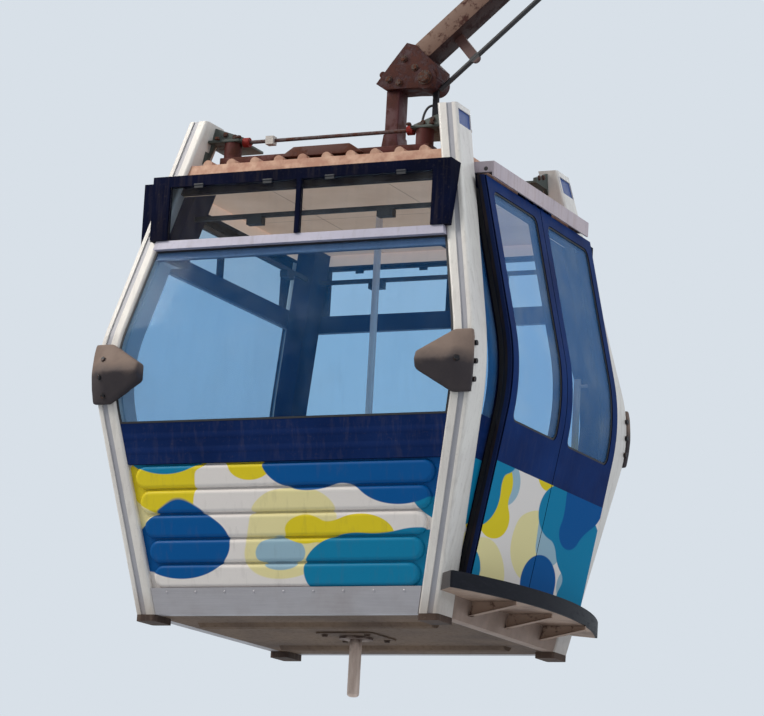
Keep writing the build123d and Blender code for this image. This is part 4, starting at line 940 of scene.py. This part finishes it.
# Suspension. A welded steel frame over the roof on four rubber buffers, under grey-green gussets
# bolted to the posts; red-knobbed tie rods join the gussets.
old_red = rusted("old_red", srgb(96, 44, 38), srgb(70, 36, 34), srgb(92, 50, 38), 0.5)
formed("suspension_frame", "roof_frame", 0.004, 2, old_red)
old_red.onto("dampers")
gusset_grey = rusted("gusset_grey", srgb(88, 94, 88), srgb(66, 72, 70), srgb(96, 72, 56), 0.4)
formed("post_gussets", "gusset_plates", 0.003, 2, gusset_grey)
rod_paint = rusted("rod_paint", srgb(96, 70, 66), srgb(80, 74, 76), srgb(104, 62, 48), 0.5, 30)
rod_tone = rod_paint.mix(abs(rod_paint.x) > 0.411, rod_paint.colour, srgb(132, 34, 28))
rod_paint.feed("Base Color", rod_paint.mix(
    rod_paint.band(rod_paint.x, -0.3215, -0.2785, 0.0005), rod_tone, srgb(196, 190, 184)))
rod_paint.onto("tie_rods")
old_bolt = rusted("old_bolt", srgb(84, 66, 58), srgb(60, 50, 48), srgb(110, 64, 44), 0.5, 60)
post_inner_x, post_inner_y = 0.595, 0.53
flange_x, flange_y = 0.6453, 0.6103
buffer_x, buffer_y, buffer_bolt, plate_top = 0.50, 0.60, 0.058, 2.2825
gusset_bolts = []
for side_x in (-1, 1):
    for side_y in (-1, 1):
        for inward, height in ((0.055, 2.315), (0.105, 2.30)):
            gusset_bolts.append(pointing(
                (side_x * (post_inner_x - inward), side_y * flange_y, height + floor_line), (0, side_y, 0)))
            gusset_bolts.append(pointing(
                (side_x * flange_x, side_y * (post_inner_y - inward), height + floor_line), (side_x, 0, 0)))
        for dx, dy in ((-buffer_bolt, -buffer_bolt), (buffer_bolt, buffer_bolt), (-buffer_bolt, buffer_bolt)):
            gusset_bolts.append(pointing(
                (side_x * (buffer_x + dx), side_y * (buffer_y + dy), plate_top + floor_line), (0, 0, 1)))
repeated(hex_bolt(0.022), "gusset_bolts", "cabin", old_bolt, gusset_bolts)

# Hanger. A welded leg with a wide foot and a collar, a cast elbow with its cross pin, and a
# box arm with cover plates, in old red-brown and tan paint.
leg_red = rusted("leg_red", srgb(76, 32, 34), srgb(54, 26, 30), srgb(78, 38, 32), 0.5, 12)
formed("hanger_leg", "leg_weldment", 0.004, 2, leg_red)
elbow_rust = rusted("elbow_rust", srgb(64, 30, 32), srgb(44, 24, 28), srgb(82, 42, 34), 0.52, 14)
formed("hanger_elbow", "elbow_casting", 0.006, 3, elbow_rust)
arm_tan = rusted("arm_tan", srgb(124, 98, 84), srgb(100, 76, 66), srgb(76, 42, 36), 0.45, 13)
# Painted shade: the top and bottom faces of the arm are painted a dark red-brown.
top_and_bottom_shade = arm_tan.ramp(abs(arm_tan.facing()[1]), 0.8, 0.6) * 0.9
arm_tan.feed("Base Color", arm_tan.mix(top_and_bottom_shade, arm_tan.colour, srgb(46, 26, 26)))
formed("hanger_arm", "box_arm", 0.004, 2, arm_tan)
repeated(hex_bolt(0.06), "pin_nuts", "cabin", old_bolt,
         [pointing((0.243, side * 0.0885, 2.692 + floor_line), (0, side, 0)) for side in (-1, 1)])
repeated(hex_bolt(0.03), "elbow_bolts", "cabin", old_bolt, [
    pointing((x, side * 0.0755, height + floor_line), (0, side, 0)) for side in (-1, 1)
    for x, height in ((0.045, 2.70), (0.10, 2.68), (0.12, 2.80), (0.18, 2.75))])
repeated(hex_bolt(0.028), "foot_bolts", "cabin", old_bolt, [
    pointing((0.06 + dx, dy, 2.253 + floor_line), (0, 0, 1)) for dx in (-0.085, 0.085) for dy in (-0.08, 0.08)])

# Door rod. A blackened steel rod under the arm, which works the doors. It runs up at 40 degrees
# through two rusty brackets, which are in one piece with it here.
rod_black = Finish("rod_black")
rod_lift, rod_x, rod_height = radians(40), 0.29, 2.6503
off_axis = abs((rod_black.x - rod_x) * sin(rod_lift) - (rod_black.height - rod_height) * cos(rod_lift))
tarnish = rod_black.noise(26, 5)
rod_black.feed("Base Color", rod_black.mix(
    rod_black.ramp(off_axis, 0.0130, 0.0135), rod_black.mix(tarnish, srgb(20, 20, 24), srgb(44, 42, 44)),
    rod_black.mix(tarnish, srgb(92, 52, 42), srgb(60, 40, 38))))
rod_black.feed("Roughness", tarnish * 0.3 + 0.4)
rod_black.bump(tarnish, 0.0005)
rod_black.onto("door_rod")

# Grip. Forged steel jaws on the rope with their lever, springs and nylon rollers: oiled steel
# with dark patches of oil.
grip_steel = Finish("grip_steel", Metallic=0.75)
oil = grip_steel.ramp(grip_steel.noise(7, 6, 0.65), 0.42, 0.66)
grip_steel.feed("Base Color", grip_steel.mix(oil, srgb(142, 138, 134), srgb(70, 58, 50)))
grip_steel.feed("Roughness", oil * 0.25 + 0.35)
grip_steel.bump(grip_steel.noise(70, 4) + oil * 0.5, 0.0006)
grip_steel.onto("grip_body", "grip_jaw")
spring_steel = Finish("spring_steel", Metallic=0.5)
worn = spring_steel.noise(60, 4)
spring_steel.feed("Base Color", spring_steel.mix(worn, srgb(172, 128, 36), srgb(90, 66, 40)))
spring_steel.feed("Roughness", worn * 0.3 + 0.35)
spring_steel.onto("grip_springs")
nylon = Finish("roller_nylon")
rubbed_and_sunlit = nylon.noise(24, 4)
nylon.feed("Base Color", nylon.mix(rubbed_and_sunlit, srgb(30, 30, 32), srgb(66, 64, 62)))
nylon.feed("Roughness", rubbed_and_sunlit * 0.3 + 0.4)
nylon.bump(rubbed_and_sunlit, 0.0006)
nylon.onto("front_grip_roller", "rear_grip_roller")
